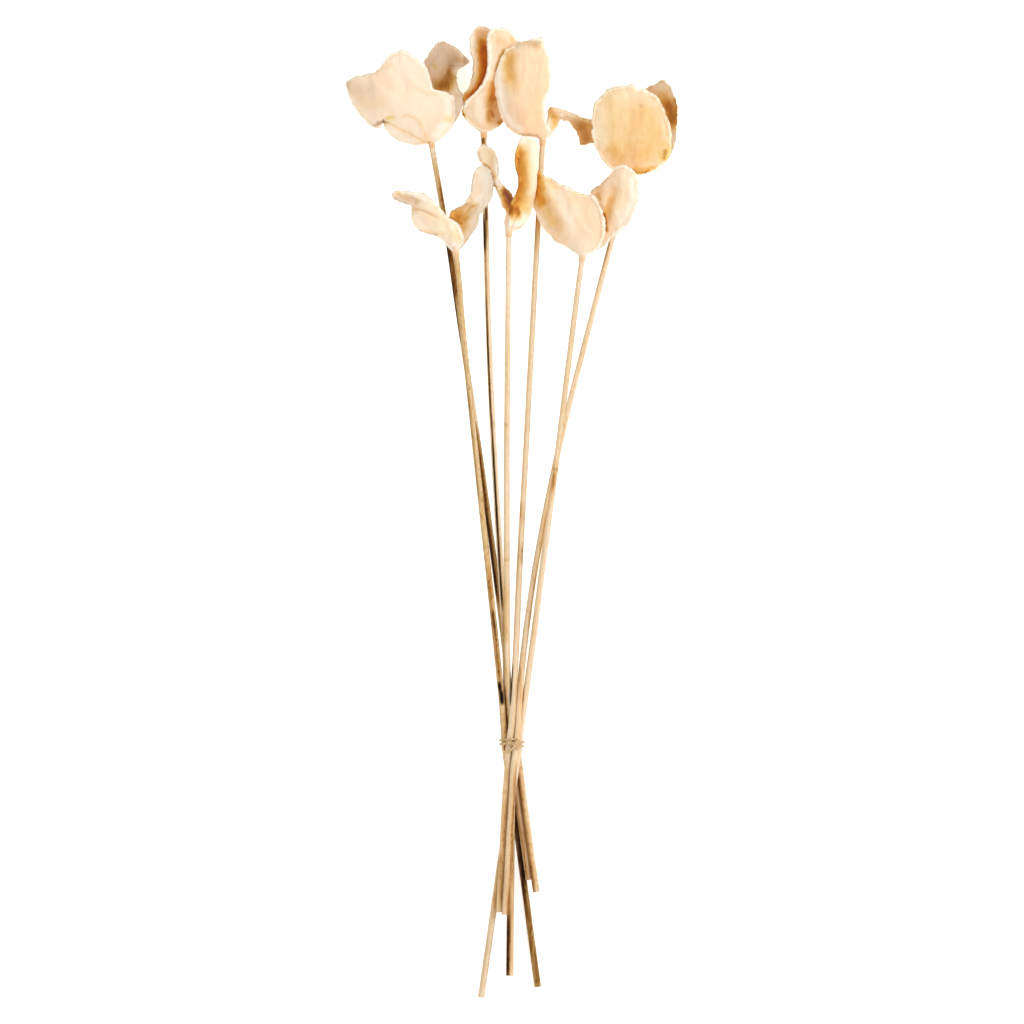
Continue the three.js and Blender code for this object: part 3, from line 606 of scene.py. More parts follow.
pod5Left = {  # lower left: the wing
    "rim": [
        [-35.5, 462.8, 50], [-39, 465, 49], [-42.5, 469.5, 47], [-47.5, 473, 45.5], [-53, 474.5, 44.5],
        [-58, 477, 44], [-61, 481.5, 44.5], [-61, 487.5, 47.5], [-62.5, 491, 49.5], [-66.5, 492.5, 51.5],
        [-70, 494, 53.5], [-73.5, 495.5, 55], [-74.5, 498, 56.5], [-71.5, 500.5, 57], [-66.5, 500.5, 57.5],
        [-61, 499.5, 57.5], [-55, 499, 58.5], [-51, 496, 59], [-47, 492.5, 59], [-43, 488, 58.5],
        [-38.5, 483.5, 57.5], [-33.5, 480, 56], [-30.5, 474.5, 54.5], [-29.5, 468.5, 53],
    ],
    "belly": [3, 5, 6, 4, 2], "skew": -0.4,
    # marks: grey and tan are painted shade along the upper crease and edges of the wing; pale is painted
    # highlight; the small orange spot at the tip is the wood's own
    "stainsAndShading": [
        stainAndShading("tan", 6, 0.22, (-57, 488.5), (-49.5, 481), (-42, 475)),
        stainAndShading("grey", 4, 0.2, (-65, 495.5), (-61, 493.5)),
        stainAndShading("orange", 1.5, 0.25, (-71, 499), (-70, 499)),
        stainAndShading("grey", 1.2, 0.65, (-72.5, 495.5), (-66.5, 493), (-62, 491)),
        stainAndShading("grey", 2.2, 0.4, (-69.5, 497), (-63, 495.5), (-58.5, 493.5)),
        stainAndShading("tan", 1.8, 0.45, (-68, 496.5), (-63, 495.5), (-58.5, 493.5)),
        stainAndShading("pale", 2.2, 0.8, (-64.5, 499), (-58.5, 497), (-52, 495)),
        stainAndShading("tan", 1.6, 0.5, (-59.5, 489), (-53.5, 487.5), (-48.5, 485)),
        stainAndShading("tan", 4.5, 0.4, (-51, 485), (-46, 482.5), (-41, 480)),
        stainAndShading("tan", 1.8, 0.6, (-53.5, 476), (-48.5, 475), (-43.5, 474.5)),
        stainAndShading("grey", 1, 0.7, (-57, 475.5), (-52.5, 473.5), (-47, 473.5)),
        stainAndShading("grey", 0.9, 0.4, (-61.5, 490), (-61, 485)),
        stainAndShading("pale", 3.5, 0.8, (-37, 480), (-35.5, 473.5), (-35.5, 467.5)),
        stainAndShading("pale", 3, 0.6, (-58.5, 485), (-55, 480)),
        stainAndShading("orange", 2.4, 0.18, (-36, 474.5), (-34.5, 471)),
        stainAndShading("grey", 1.2, 0.55, (-29.5, 470.5), (-30, 468)),
        stainAndShading("grey", 0.9, 0.35, (-54.5, 499), (-50, 495.5)),
    ],
    "folds": [
        fold(1.3, 1, (-72, 498), (-65.5, 495.5), (-59.5, 492.5), (-52.5, 489), (-46, 485.5)),
        fold(1.6, -0.8, (-67, 493.5), (-61, 490.5), (-53.5, 487.5), (-47, 484)),
        fold(2, 0.7, (-57, 485.5), (-52, 480.5), (-44.5, 477)),
        fold(1.5, 0.6, (-40.5, 481), (-37, 475), (-36.5, 468)),
        fold(1.2, 0.6, (-61, 498), (-57, 495.5), (-52, 493)),
    ],
    "ledges": [
        ledge(0.8, 1.2, 6, (-41, 478.5), (-47, 483), (-54, 486.5), (-61.5, 490), (-67, 493)),
    ],
}
pod5Right = {  # the folded valve
    "rim": [
        [-33.3, 463.8, 49], [-35, 471, 44.5], [-38, 478.5, 42], [-39, 486, 45], [-34.5, 489.5, 49],
        [-29.5, 492.5, 53], [-26, 498, 56], [-25, 504.5, 57.5], [-24, 511, 59], [-21.5, 514.5, 59.5],
        [-17.5, 516, 60], [-13.5, 513.5, 60], [-11.5, 508, 60], [-11.5, 501.5, 58.5], [-13, 495.5, 56.5],
        [-16.5, 490, 54.5], [-20, 485, 53], [-21.5, 478.5, 51.5], [-25, 473.5, 50.5], [-28.5, 468.5, 50],
    ],
    "belly": [-4, -6, -5, -3], "skew": 0,
    # marks: orange, brown and tan are painted shade in the lower left fold, grey is painted shade along its
    # edges; pale is painted highlight on the lit right side
    "stainsAndShading": [
        stainAndShading("orange", 3.6, 0.6, (-36, 486.5), (-33.5, 485.5)),
        stainAndShading("tan", 5, 0.8, (-31, 488.5), (-27.5, 491)),
        stainAndShading("brown", 0.9, 0.6, (-38, 484), (-34.5, 482.5), (-31, 480)),
        stainAndShading("brown", 0.8, 0.2, (-31.5, 483), (-27.5, 487.5), (-22.5, 493)),
        stainAndShading("orange", 3.2, 0.35, (-30, 483.5), (-30.5, 476)),
        stainAndShading("tan", 4, 0.45, (-30, 486), (-30.5, 478.5)),
        stainAndShading("pale", 3, 1, (-20.5, 496), (-23, 490)),
        stainAndShading("brown", 2, 0.25, (-33.5, 484), (-28.5, 483)),
        stainAndShading("grey", 0.9, 0.5, (-38.5, 488), (-32, 490.5), (-28, 493)),
        stainAndShading("grey", 0.8, 0.4, (-24, 511), (-25, 502), (-26, 495.5)),
        stainAndShading("tan", 2.4, 0.2, (-22.5, 509.5), (-22.5, 501), (-23.5, 495)),
        stainAndShading("pale", 5, 1, (-17.5, 512), (-15, 503.5), (-16, 495), (-20, 486), (-24, 478.5), (-28, 471)),
        stainAndShading("orange", 1.4, 0.2, (-24, 491.5), (-23.5, 490.5)),
    ],
    "folds": [
        fold(1, 0.5, (-31.5, 483), (-27.5, 488), (-22.5, 493.5)),
        fold(2, -0.6, (-34.5, 486), (-30.5, 486), (-26.5, 485)),
        fold(1.6, 0.7, (-21.5, 511), (-21.5, 501), (-23.5, 493.5)),
        fold(1.6, 0.5, (-15, 512), (-13.5, 502), (-15.5, 493.5)),
    ],
}
pod6Left = {  # lower middle: the narrow left valve
    "rim": [
        [-3, 475.5, 57], [-4.5, 480, 47], [-3, 486.3, 41], [-4.9, 492.8, 36.5], [-8.6, 498, 34],
        [-10, 503.5, 32.5], [-12, 509, 33.5], [-15.5, 514.5, 35.5], [-19, 518.5, 38], [-21.5, 523.5, 43.5],
        [-18, 529, 57], [-13.5, 527.5, 65], [-10, 523.5, 67.5], [-8, 517.5, 69.5], [-7.5, 511.5, 70],
        [-6.2, 505, 69.5], [-2.6, 501, 66.5], [0.8, 496.5, 63.5], [1.2, 490, 61], [-0.6, 482.5, 59],
    ],
    "belly": [1.5, 2, 2, 1], "skew": 0,
    # marks: brown, orange and yellow are painted shade in the valve's inside and creases, grey along its
    # edge; pale is painted highlight along the ridge and tip
    "stainsAndShading": [
        stainAndShading("orange", 4.5, 0.12, (-15.5, 524.5), (-14.5, 521)),
        stainAndShading("tan", 2, 0.4, (-12, 524), (-11, 517.5)),
        stainAndShading("pale", 5, 0.8, (-18, 526), (-16.5, 521)),
        stainAndShading("brown", 1, 0.6, (-17, 517), (-15.5, 516.5)),
        stainAndShading("brown", 1.1, 1.4, (-15, 514.5), (-13.5, 512), (-12, 509.5)),
        stainAndShading("orange", 1.5, 0.6, (-15, 515), (-13, 512), (-11, 509)),
        stainAndShading("pale", 1.8, 0.9, (-9.5, 519.5), (-8.5, 512), (-7.5, 504.5), (-5.5, 497)),
        stainAndShading("brown", 1.1, 1.3, (-10, 503), (-9.5, 498.5), (-8, 494)),
        stainAndShading("brown", 2.4, 1.4, (-3.5, 500), (-1, 496.5), (0, 492.5)),
        stainAndShading("orange", 2.2, 0.9, (-5, 500.5), (-3, 495), (-2, 488.5)),
        stainAndShading("yellow", 1.2, 0.5, (-4.5, 498), (-3.5, 493)),
        stainAndShading("pale", 3, 0.5, (-17.5, 527.5), (-15, 526)),
        stainAndShading("grey", 1, 0.4, (-21, 524), (-19, 519.5)),
    ],
    "folds": [
        fold(1.2, 1.2, (-9.5, 519.5), (-8.5, 512), (-7.5, 504.5), (-5.5, 497), (-3.5, 491)),
        fold(1.1, -1, (-15, 515), (-13, 512), (-11, 508.5)),
        fold(1, -1, (-10, 503), (-8.5, 498), (-7.5, 493.5)),
        fold(2.2, 0.6, (-17.5, 527), (-14.5, 522), (-12, 517.5)),
    ],
}
pod6Right = {  # the wider right valve
    "rim": [
        [-0.5, 475.5, 57], [-2, 480, 59], [-2, 486, 61.5], [-1, 492.5, 64], [1.5, 497, 66.5],
        [3.5, 502.5, 68], [3.5, 508.5, 69.5], [2, 515, 70], [1.5, 521.5, 69], [3, 527.5, 67.5],
        [5.5, 532.5, 66.5], [9, 534, 65], [13, 533, 63], [16, 529, 61.5], [16.5, 523.5, 60],
        [15.5, 516.5, 58], [14.5, 509.5, 56.5], [13.5, 502, 55], [13.5, 495.5, 54], [12, 489, 54],
        [9.5, 483, 54], [5.5, 477.5, 55],
    ],
    "belly": [3, 4, 5, 4, 2], "skew": 0.4,
    # marks: orange, tan, brown and yellow are painted shade in the groove down the left side, grey along the
    # edge; pale is painted highlight on the right and at the top
    "stainsAndShading": [
        stainAndShading("orange", 4, 1, (4.5, 523.5), (4.5, 518.5), (5, 512), (5.5, 504.5), (4.5, 498.5), (3, 493),
              (1, 488)),
        stainAndShading("tan", 4.5, 0.5, (7, 526), (8, 516.5), (8.5, 507), (8, 498)),
        stainAndShading("brown", 1.3, 0.35, (3.5, 519.5), (4, 513.5), (4.5, 504.5), (3.5, 498.5), (2, 493)),
        stainAndShading("yellow", 2.6, 0.25, (8, 517.5), (8.5, 512)),
        stainAndShading("pale", 5, 0.45, (12, 528), (13, 519.5), (13, 509.5), (12, 499.5), (8.5, 490)),
        stainAndShading("orange", 3.4, 0.5, (8, 496), (7, 490)),
        stainAndShading("pale", 4, 0.8, (5.5, 531.5), (7.5, 528)),
        stainAndShading("brown", 1.4, 0.6, (3, 489), (3.5, 486.5)),
        stainAndShading("brown", 1.4, 0.8, (-0.5, 490.5), (-1, 486.5)),
        stainAndShading("orange", 2.4, 0.6, (0.5, 489), (3.5, 485)),
        stainAndShading("pale", 3, 0.9, (-2.5, 478.5), (2.5, 480), (7.5, 483)),
        stainAndShading("grey", 0.9, 0.6, (3.5, 477.5), (7.5, 479.5)),
    ],
    "folds": [
        fold(3.4, -2, (5.5, 524), (5.5, 516.5), (7, 508.5), (7, 501), (4.5, 495)),
        fold(1, 0.9, (-3.5, 477.5), (-0.5, 483.5), (2, 488)),
        fold(1, -0.8, (-1, 477.5), (2, 483), (4.5, 487.5)),
        fold(1.2, 0.7, (1, 477), (5.5, 481), (9.5, 486)),
        fold(1.8, 0.8, (12, 527), (13, 517), (12.5, 506), (10.5, 496)),
    ],
}
pod7Left = {  # lower right: the boat-shaped valve
    "rim": [
        [43.5, 460, 56], [39, 462, 54], [33.5, 465.5, 51.5], [28, 468.5, 49], [23, 473.5, 47],
        [19, 478.5, 45.5], [16, 485, 45], [14, 491.5, 45], [13, 497, 46], [12.9, 503, 47],
        [13.6, 507, 48.5], [14.4, 510.5, 50], [15.6, 513, 51.5], [20, 510, 54.5], [25, 508, 56.5],
        [30, 504.5, 58], [35.5, 503, 59.5], [40.5, 499.5, 60.5], [46, 498, 61.5], [51, 497, 62],
        [55, 490.5, 62.5], [57.5, 483, 62], [58, 475, 61], [53.5, 464.5, 58.5],
    ],
    "belly": [5, 9, 10, 7, 3], "skew": 0.6,
    # marks: orange, brown, tan and grey are painted shade along the steep left flank and edges; pale is
    # painted highlight along the right rim and the middle
    "stainsAndShading": [
        stainAndShading("orange", 3.4, 1.1, (15.5, 511.5), (16, 504.5), (17, 498.5), (18.5, 493.5)),
        stainAndShading("brown", 1.2, 0.5, (15, 511), (14.5, 504.5), (15, 498.5)),
        stainAndShading("tan", 5.2, 0.8, (21.5, 493), (25, 485.5), (29, 477.5)),
        stainAndShading("orange", 3, 0.2, (21.5, 488.5), (25.5, 481)),
        stainAndShading("tan", 3, 0.3, (28.5, 476), (33, 470.5)),
        stainAndShading("yellow", 1, 0.5, (19, 507), (20.5, 500.5)),
        stainAndShading("orange", 3, 0.15, (21.5, 507), (25.5, 503.5)),
        stainAndShading("grey", 1, 0.4, (25, 507.5), (30, 504.5), (36.5, 503)),
        stainAndShading("yellow", 1.2, 0.3, (39, 499.5), (44.5, 498)),
        stainAndShading("pale", 1.2, 0.9, (50, 499.5), (54.5, 491.5), (57, 485), (57.5, 475)),
        stainAndShading("tan", 0.9, 0.45, (51, 496), (54, 488.5), (56, 481), (56, 475)),
        stainAndShading("tan", 1.2, 0.4, (22.5, 475), (27.5, 470), (34.5, 465.5)),
        stainAndShading("tan", 3, 0.25, (42, 499.5), (47, 493.5)),
        stainAndShading("tan", 7, 0.18, (39.5, 495), (46, 485), (48.5, 476)),
        stainAndShading("pale", 4, 0.4, (30, 495), (33.5, 486), (37, 477.5)),
    ],
    "folds": [
        fold(2.2, 0.7, (21, 507), (23.5, 498.5), (27.5, 490), (33.5, 481)),
        fold(1.8, 0.5, (33.5, 501), (37, 491), (42, 481), (48.5, 472.5)),
        fold(1.2, 0.8, (48.5, 498.5), (53.5, 491), (56, 482.5), (56, 473.5)),
        fold(2, -0.6, (17.5, 501), (21, 491), (27.5, 480)),
    ],
}
pod7Right = {  # the smaller valve to its right
    "rim": [
        [44.5, 460.5, 54], [49.5, 465.5, 50], [54, 471, 47], [52.5, 478.5, 45], [51, 486.5, 44],
        [49, 494, 44], [49.5, 500.5, 45], [54.5, 504, 48], [59.5, 508.5, 51], [63, 513.5, 53.5],
        [69, 516, 56], [74.5, 514, 57], [78, 509, 57], [78.5, 502, 57], [78.5, 495.5, 57],
        [76.5, 488.5, 56.5], [74, 482.5, 56], [69.5, 477.5, 55], [64.5, 473.5, 54.5], [56, 465.5, 54],
    ],
    "belly": [3, 6, 6, 4], "skew": 0.4,
    # marks: tan, orange, brown and grey are painted shade in the stripe down the left side behind the other
    # valve; pale is painted highlight on the right
    "stainsAndShading": [
        stainAndShading("tan", 3, 0.7, (54.5, 503), (55, 499.5)),
        stainAndShading("grey", 0.9, 0.7, (50, 500.5), (54.5, 504), (59.5, 508.5)),
        stainAndShading("brown", 1.2, 0.3, (53.5, 498), (54.5, 495.5)),
        stainAndShading("tan", 3.4, 0.8, (63, 501), (61.5, 493.5), (59.5, 486.5), (58.5, 479.5)),
        stainAndShading("orange", 2.4, 0.3, (61.5, 495), (59, 486)),
        stainAndShading("brown", 0.8, 0.8, (57.5, 486.5), (58, 481), (58.5, 475.5)),
        stainAndShading("tan", 2.4, 0.3, (65.5, 507), (67, 497), (65, 490)),
        stainAndShading("tan", 3, 0.4, (57, 502), (58.5, 495)),
        stainAndShading("tan", 6, 0.15, (69.5, 504), (70, 491.5)),
        stainAndShading("pale", 3, 0.7, (74.5, 507), (75, 498), (72.5, 488.5), (68, 480.5)),
        stainAndShading("grey", 3.4, 0.2, (69.5, 483.5), (72, 481)),
    ],
    "folds": [
        fold(1.6, 0.8, (58.5, 506), (57, 498.5), (56.5, 492.5)),
        fold(2, -0.8, (63, 501), (61, 492.5), (59, 483.5)),
        fold(2.2, 0.9, (68, 509.5), (68, 498.5), (64.5, 487.5)),
    ],
}
pods = [
    {"name": "pod_1", "valves": [pod1Front, pod1Back], "paleness": 0.25},
    {"name": "pod_2", "valves": [pod2Front, pod2Back]},
    {"name": "pod_3", "valves": [pod3Front, pod3Back]},
    {"name": "pod_4", "valves": [pod4Front, pod4Back]},
    {"name": "pod_5", "valves": [pod5Left, pod5Right], "paleness": 0.4},
    {"name": "pod_6", "valves": [pod6Left, pod6Right], "paleness": 0.1},
    {"name": "pod_7", "valves": [pod7Left, pod7Right], "paleness": 0.12},
]

# Heights and widths are in millimetres; a grain says how fine a noise is, and each noise has its own seed
podBuild = {
    "cells": 112, "plateGap": 0.5, "rimDensity": 1.4, "ribStep": 0.04, "thickness": 1.7, "rimThickness": 0.8,
    "edgeThinning": 0.35, "edgeFrom": 0.965, "floorEase": 0.5, "uvShift": 0.37,
    "surfaceWave": 0.9, "surfaceGrain": 0.11, "wrinkle": 0.8, "wrinkleGrain": (0.16, 0.08, 0.16),
    "pucker": 0.16, "puckerGrain": 0.42, "calmFrom": 0.72, "calmTo": 1.02,
    "rimRound": 3.1, "rimFrom": 0.72, "neckFrom": -0.95, "neckTo": -0.7,
    "rimWave": 0.6, "rimWaveGrain": 2.3, "rimCrinkle": 0.4, "rimCrinkleGrain": 6,
    "rimLip": 0.35, "rimLipGrain": 5, "rimLipAt": 0.9, "rimLipWidth": 0.7, "rimLipBase": 0.7,
    "rimNibble": 0.03, "nibbleFrom": 0.75, "nibbleLeast": -0.01, "nibbleMost": 0.06, "nibbleBase": 0.15,
    "nibbles": [(0.7, 1.6, 0), (0.7, 4.1, 3), (0.5, 11, 5)],  # strength, grain and seed of each
    # the marks of stain and painted shading are warped by noise and weaker on the under face
    "ledgeEnds": 0.15, "stainAndShadingWarp": 0.9, "warpGrain": 0.3, "underStainAndShading": 0.35,
}
# The rim has a painted highlight on its lip, a tan line of painted shade inside it and a grey-tan edge of
# painted shade
rimLook = {
    "lipFrom": 2.6, "lipTo": 1.0, "lipCover": {"grain": 3, "middle": 0.8, "swing": 0.8, "least": 0.2},
    "lineAt": 2.3, "lineWidth": 0.6, "lineCover": {"grain": 2.2, "middle": 0.25, "swing": 0.7, "least": 0},
    "edgeFrom": 0.8, "edgeTo": 0.2, "edgeCover": {"grain": 3.4, "middle": 0.5, "swing": 0.8, "least": 0},
    "edgeGrey": 0.8,
}
# The collar's outline goes up its outside and down its bore: radius and height in millimetres
collarBuild = {
    "outline": [(1.85, -2.5), (1.97, -2.5), (2.05, -1.9), (2.139, 0), (2.3, 1.6), (2.185, 3),
                (1.725, 4.6), (0.92, 6), (0, 6.3), (0, 2), (1.85, 2)],
    "steps": 24, "ripple": 0.07, "rippleGrain": 0.55, "rippleFrom": 1.87, "rippleTo": 2.185,
    "tan": 0.8, "tanTop": 4.0, "tanLow": -2.5, "uvHeight": 20,
}


# A square grid bent to a disc, with finer cells near its edge
def discPlace(u, v):
    wide = np.abs(u) > np.abs(v)
    ring = np.maximum(np.abs(u), np.abs(v))
    radius = np.where(wide, u, v) * (1 - (1 - ring)**podBuild["rimDensity"]) / np.maximum(ring, 1e-9)
    ratio = np.where(wide, v / np.where(u == 0, 1, u), u / np.where(v == 0, 1, v))
    angle = np.where(wide, math.pi / 4 * ratio, math.pi / 2 - math.pi / 4 * ratio)
    return radius * np.cos(angle), radius * np.sin(angle)


# The sheet of a valve: ribs across from the left edge to the right, each with its own rise
def valveMiddle(valve, p, q):
    rim = valve["rim"]
    angle = np.arccos(np.clip(-q, -1, 1))
    share = angle / math.pi

    def ribEnds(s):
        return splineAt(rim, s / 2, True), splineAt(rim, 1 - s / 2, True)

    def ribMiddle(s):
        left, right = ribEnds(s)
        return (left + right) / 2

    left, right = ribEnds(share)
    halfWidth = np.sin(angle)
    across = np.where(halfWidth > 1e-6, np.clip(p / np.maximum(halfWidth, 1e-6), -1, 1), 0)
    step = podBuild["ribStep"]
    ahead = ribMiddle(np.minimum(share + step, 1)) - ribMiddle(np.maximum(share - step, 0))
    outward = unit(np.cross(right - left, ahead))
    belly = np.array([0, *valve["belly"], 0], float)[:, None]
    rise = splineAt(belly, share) * ((1 - across**2) * (1 - valve["skew"] * across))[..., None]
    return left + (right - left) * ((1 + across) / 2)[..., None] + outward * rise


def facingOf(sheet):
    return unit(np.cross(np.gradient(sheet, axis=1), np.gradient(sheet, axis=0)))


# Distance to a drawn path, the side of it (left is +1) and how far along it
def nearPath(places, path):
    path = np.array(path, float)
    if len(path) > 2:
        path = splineAt(path, np.linspace(0, 1, 6 * len(path)))
    x, y = places[..., 0], places[..., 1]
    best, side, share = np.full(x.shape, 1e9), np.zeros(x.shape), np.zeros(x.shape)
    for i, (a, b) in enumerate(zip(path[:-1], path[1:])):
        step = b - a
        f = np.clip(((x - a[0]) * step[0] + (y - a[1]) * step[1]) / max(step @ step, 1e-9), 0, 1)
        gapX, gapY = x - a[0] - f * step[0], y - a[1] - f * step[1]
        distance = np.hypot(gapX, gapY)
        nearer = distance < best
        best = np.where(nearer, distance, best)
        side = np.where(nearer, np.sign(step[0] * gapY - step[1] * gapX), side)
        share = np.where(nearer, (i + f) / (len(path) - 1), share)
    return best, side, share


def markMask(places, mark):
    distance = nearPath(places, mark["path"])[0]
    return mark["amount"] * bell(distance, mark["width"])


def ledgeLift(places, step):
    distance, side, share = nearPath(places, step["path"])
    ends = smoothStep(share, 0, podBuild["ledgeEnds"]) * smoothStep(1 - share, 0, podBuild["ledgeEnds"])
    lift = step["rise"] * ends * smoothStep(distance * side, -step["width"], step["width"])
    return lift * bell(distance, step["reach"])


# A flat square plate of two faces and a wall, to be bent to a valve
def makePlate(name, cells):
    bm = bmesh.new()
    bmesh.ops.create_grid(bm, x_segments=cells, y_segments=cells, size=1, calc_uvs=True)
    copied = bmesh.ops.duplicate(bm, geom=bm.verts[:] + bm.edges[:] + bm.faces[:])["geom"]
    underVerts = [part for part in copied if isinstance(part, bmesh.types.BMVert)]
    bmesh.ops.reverse_faces(bm, faces=[part for part in copied if isinstance(part, bmesh.types.BMFace)])
    bmesh.ops.translate(bm, verts=underVerts, vec=(0, 0, -podBuild["plateGap"]))
    bmesh.ops.bridge_loops(bm, edges=[edge for edge in bm.edges if edge.is_boundary])
    return meshFrom(bm, name)


def nibbleRim(sheet, around, ring, seed):
    build = podBuild
    depth = build["nibbleBase"]
    for strength, grain, step in build["nibbles"]:
        depth = depth + strength * noiseAt(around * grain, seed + step)
    depth = np.clip(build["rimNibble"] * depth, build["nibbleLeast"], build["nibbleMost"])
    middle = sheet[len(sheet) // 2, len(sheet) // 2]
    return sheet + (middle - sheet) * (depth * smoothStep(ring, build["nibbleFrom"], 1))[..., None]


# How far the sheet is lifted off its ribs by waves, wrinkles, its rim, folds and ledges
def reliefOf(valve, sheet, around, ring, q, rimGap, seed):
    build = podBuild
    inside = 1 - smoothStep(ring, build["calmFrom"], build["calmTo"])
    wrinkles = 0.5 - np.abs(noiseAt(sheet * build["wrinkleGrain"], seed + 17))
    lift = build["surfaceWave"] * noiseAt(sheet * build["surfaceGrain"], seed + 11) * inside
    lift += build["wrinkle"] * wrinkles * inside
    lift += build["pucker"] * noiseAt(sheet * build["puckerGrain"], seed + 19)
    rimShare = smoothStep(ring, build["rimFrom"], 1) * smoothStep(q, build["neckFrom"], build["neckTo"])
    lift += build["rimWave"] * noiseAt(around * build["rimWaveGrain"], seed + 7) * rimShare
    lift += build["rimCrinkle"] * noiseAt(around * build["rimCrinkleGrain"], seed + 9) * rimShare**4
    lip = build["rimLip"] * bell(rimGap - build["rimLipAt"], build["rimLipWidth"])
    lift += lip * (build["rimLipBase"] + noiseAt(around * build["rimLipGrain"], seed + 13))
    for crease in valve["folds"]:
        lift += markMask(sheet, crease)
    for step in valve.get("ledges", []):
        lift += ledgeLift(sheet, step)
    return lift


# Per-point amounts of each tone: stains, painted shade and painted highlight
def stainsAndShadingOf(valve, sheet, around, rimGap, paleness, seed):
    amounts = {tone: np.zeros(sheet.shape[:2]) for tone in ("pale", *stainAndShadingTones)}
    amounts["pale"] += paleness
    grain = podBuild["warpGrain"]
    warp = np.stack([noiseAt(sheet * grain, seed + 31), noiseAt(sheet * grain, seed + 33), 0 * rimGap], -1)
    warped = sheet + podBuild["stainAndShadingWarp"] * warp
    for mark in valve["stainsAndShading"]:
        amounts[mark["tone"]] = np.maximum(amounts[mark["tone"]], markMask(warped, mark))
    # painted highlight on the rim lip, painted shade in a line inside it and along the edge
    look = rimLook
    lip = smoothStep(-rimGap, -look["lipFrom"], -look["lipTo"])
    lip = lip * patchyShare(around, look["lipCover"], seed + 21)
    line = bell(rimGap - look["lineAt"], look["lineWidth"])
    line = line * patchyShare(around, look["lineCover"], seed + 23)
    edge = smoothStep(-rimGap, -look["edgeFrom"], -look["edgeTo"])
    edge = edge * patchyShare(around, look["edgeCover"], seed + 25)
    amounts["tan"] = np.maximum(amounts["tan"], line)
    amounts["grey"] = np.maximum(amounts["grey"], look["edgeGrey"] * edge)
    return amounts, lip


def makeValve(name, valve, seed, paleness):
    build = podBuild
    cells = build["cells"]
    mesh = makePlate(name, cells)
    flat = readPoints(mesh)
    under = flat[:, 2] < -build["plateGap"] / 2
    p, q = discPlace(flat[:, 0], flat[:, 1])
    radius = np.hypot(p, q)

    # the sheet is worked out once on the whole grid, and both faces stand off it
    side = np.linspace(-1, 1, cells + 1)
    gridP, gridQ = discPlace(*np.meshgrid(side, side))
    ring = np.hypot(gridP, gridQ)
    angle = np.arctan2(gridP, -gridQ)
    around = np.stack([np.cos(angle), np.sin(angle), 0 * angle], -1) * build["rimRound"]
    sheet = nibbleRim(valveMiddle(valve, gridP, gridQ), around, ring, seed)
    for dent in valve.get("dents", []):
        push = bell(sheet[..., 0] - dent["x"], dent["wide"]) * bell(sheet[..., 1] - dent["y"], dent["tall"])
        sheet[..., 1] += dent["push"] * push
    rim = np.concatenate([sheet[0], sheet[-1], sheet[:, 0], sheet[:, -1]])[::2]
    rimGap = np.sqrt(np.min(np.sum((sheet[:, :, None] - rim)**2, axis=-1), axis=-1))
    lift = reliefOf(valve, sheet, around, ring, gridQ, rimGap, seed)
    sheet = sheet + facingOf(sheet) * lift[..., None]
    normal = facingOf(sheet)

    column = np.rint((flat[:, 0] + 1) / 2 * cells).astype(int)
    row = np.rint((flat[:, 1] + 1) / 2 * cells).astype(int)
    half = build["rimThickness"] + (build["thickness"] - build["rimThickness"]) * (1 - radius**2)
    half = half * (1 - build["edgeThinning"] * smoothStep(radius, build["edgeFrom"], 1)) / 2
    points = sheet[row, column] + normal[row, column] * (half * np.where(under, -1, 1))[:, None]
    points[:, 2] = build["floorEase"] * np.logaddexp(0, points[:, 2] / build["floorEase"])
    writePoints(mesh, points)

    shift = seed * build["uvShift"]
    setUv(mesh, "valve", (p + 1) / 2 + shift, (q + 1) / 2 + shift)
    # stains, painted shade and painted highlight, stored per point for the material
    amounts, lip = stainsAndShadingOf(valve, sheet, around, rimGap, paleness, seed)
    for tone, amount in amounts.items():
        setValue(mesh, tone + "StainAndShading", np.where(under, build["underStainAndShading"], 1) * amount[row, column])
    setValue(mesh, "rimHighlight", lip[row, column])
    return newObject(name, mesh, podMaterial)


def makeCollar(name, neck, direction, seed):
    build = collarBuild
    bm = bmesh.new()
    outline = [bm.verts.new((x, 0, z)) for x, z in build["outline"]]
    for i, vert in enumerate(outline):
        bm.edges.new((vert, outline[(i + 1) % len(outline)]))
    bmesh.ops.subdivide_edges(bm, edges=bm.edges[:], cuts=2)
    bmesh.ops.spin(bm, geom=bm.verts[:] + bm.edges[:], cent=(0, 0, 0), axis=(0, 0, 1), angle=2 * math.pi,
                   steps=build["steps"], use_merge=True)
    bmesh.ops.remove_doubles(bm, verts=bm.verts[:], dist=0.001)
    bmesh.ops.recalc_face_normals(bm, faces=bm.faces[:])
    mesh = meshFrom(bm, name)
    local = readPoints(mesh)
    radius = np.hypot(local[:, 0], local[:, 1])
    ripple = build["ripple"] * noiseAt(local * build["rippleGrain"], seed)
    local[:, :2] *= 1 + (ripple * smoothStep(radius, build["rippleFrom"], build["rippleTo"]))[:, None]
    turn = Vector((0, 0, 1)).rotation_difference(Vector(direction)).to_matrix()
    writePoints(mesh, local @ np.array(turn).T + neck)
    setUv(mesh, "valve", np.arctan2(local[:, 1], local[:, 0]) / math.pi, local[:, 2] / build["uvHeight"])
    lower = smoothStep(-local[:, 2], -build["tanTop"], -build["tanLow"])
    for tone in ("pale", *stainAndShadingTones):
        setValue(mesh, tone + "StainAndShading", build["tan"] * lower * (tone == "tan"))
    setValue(mesh, "rimHighlight", np.zeros(len(local)))
    return newObject(name, mesh, podMaterial)


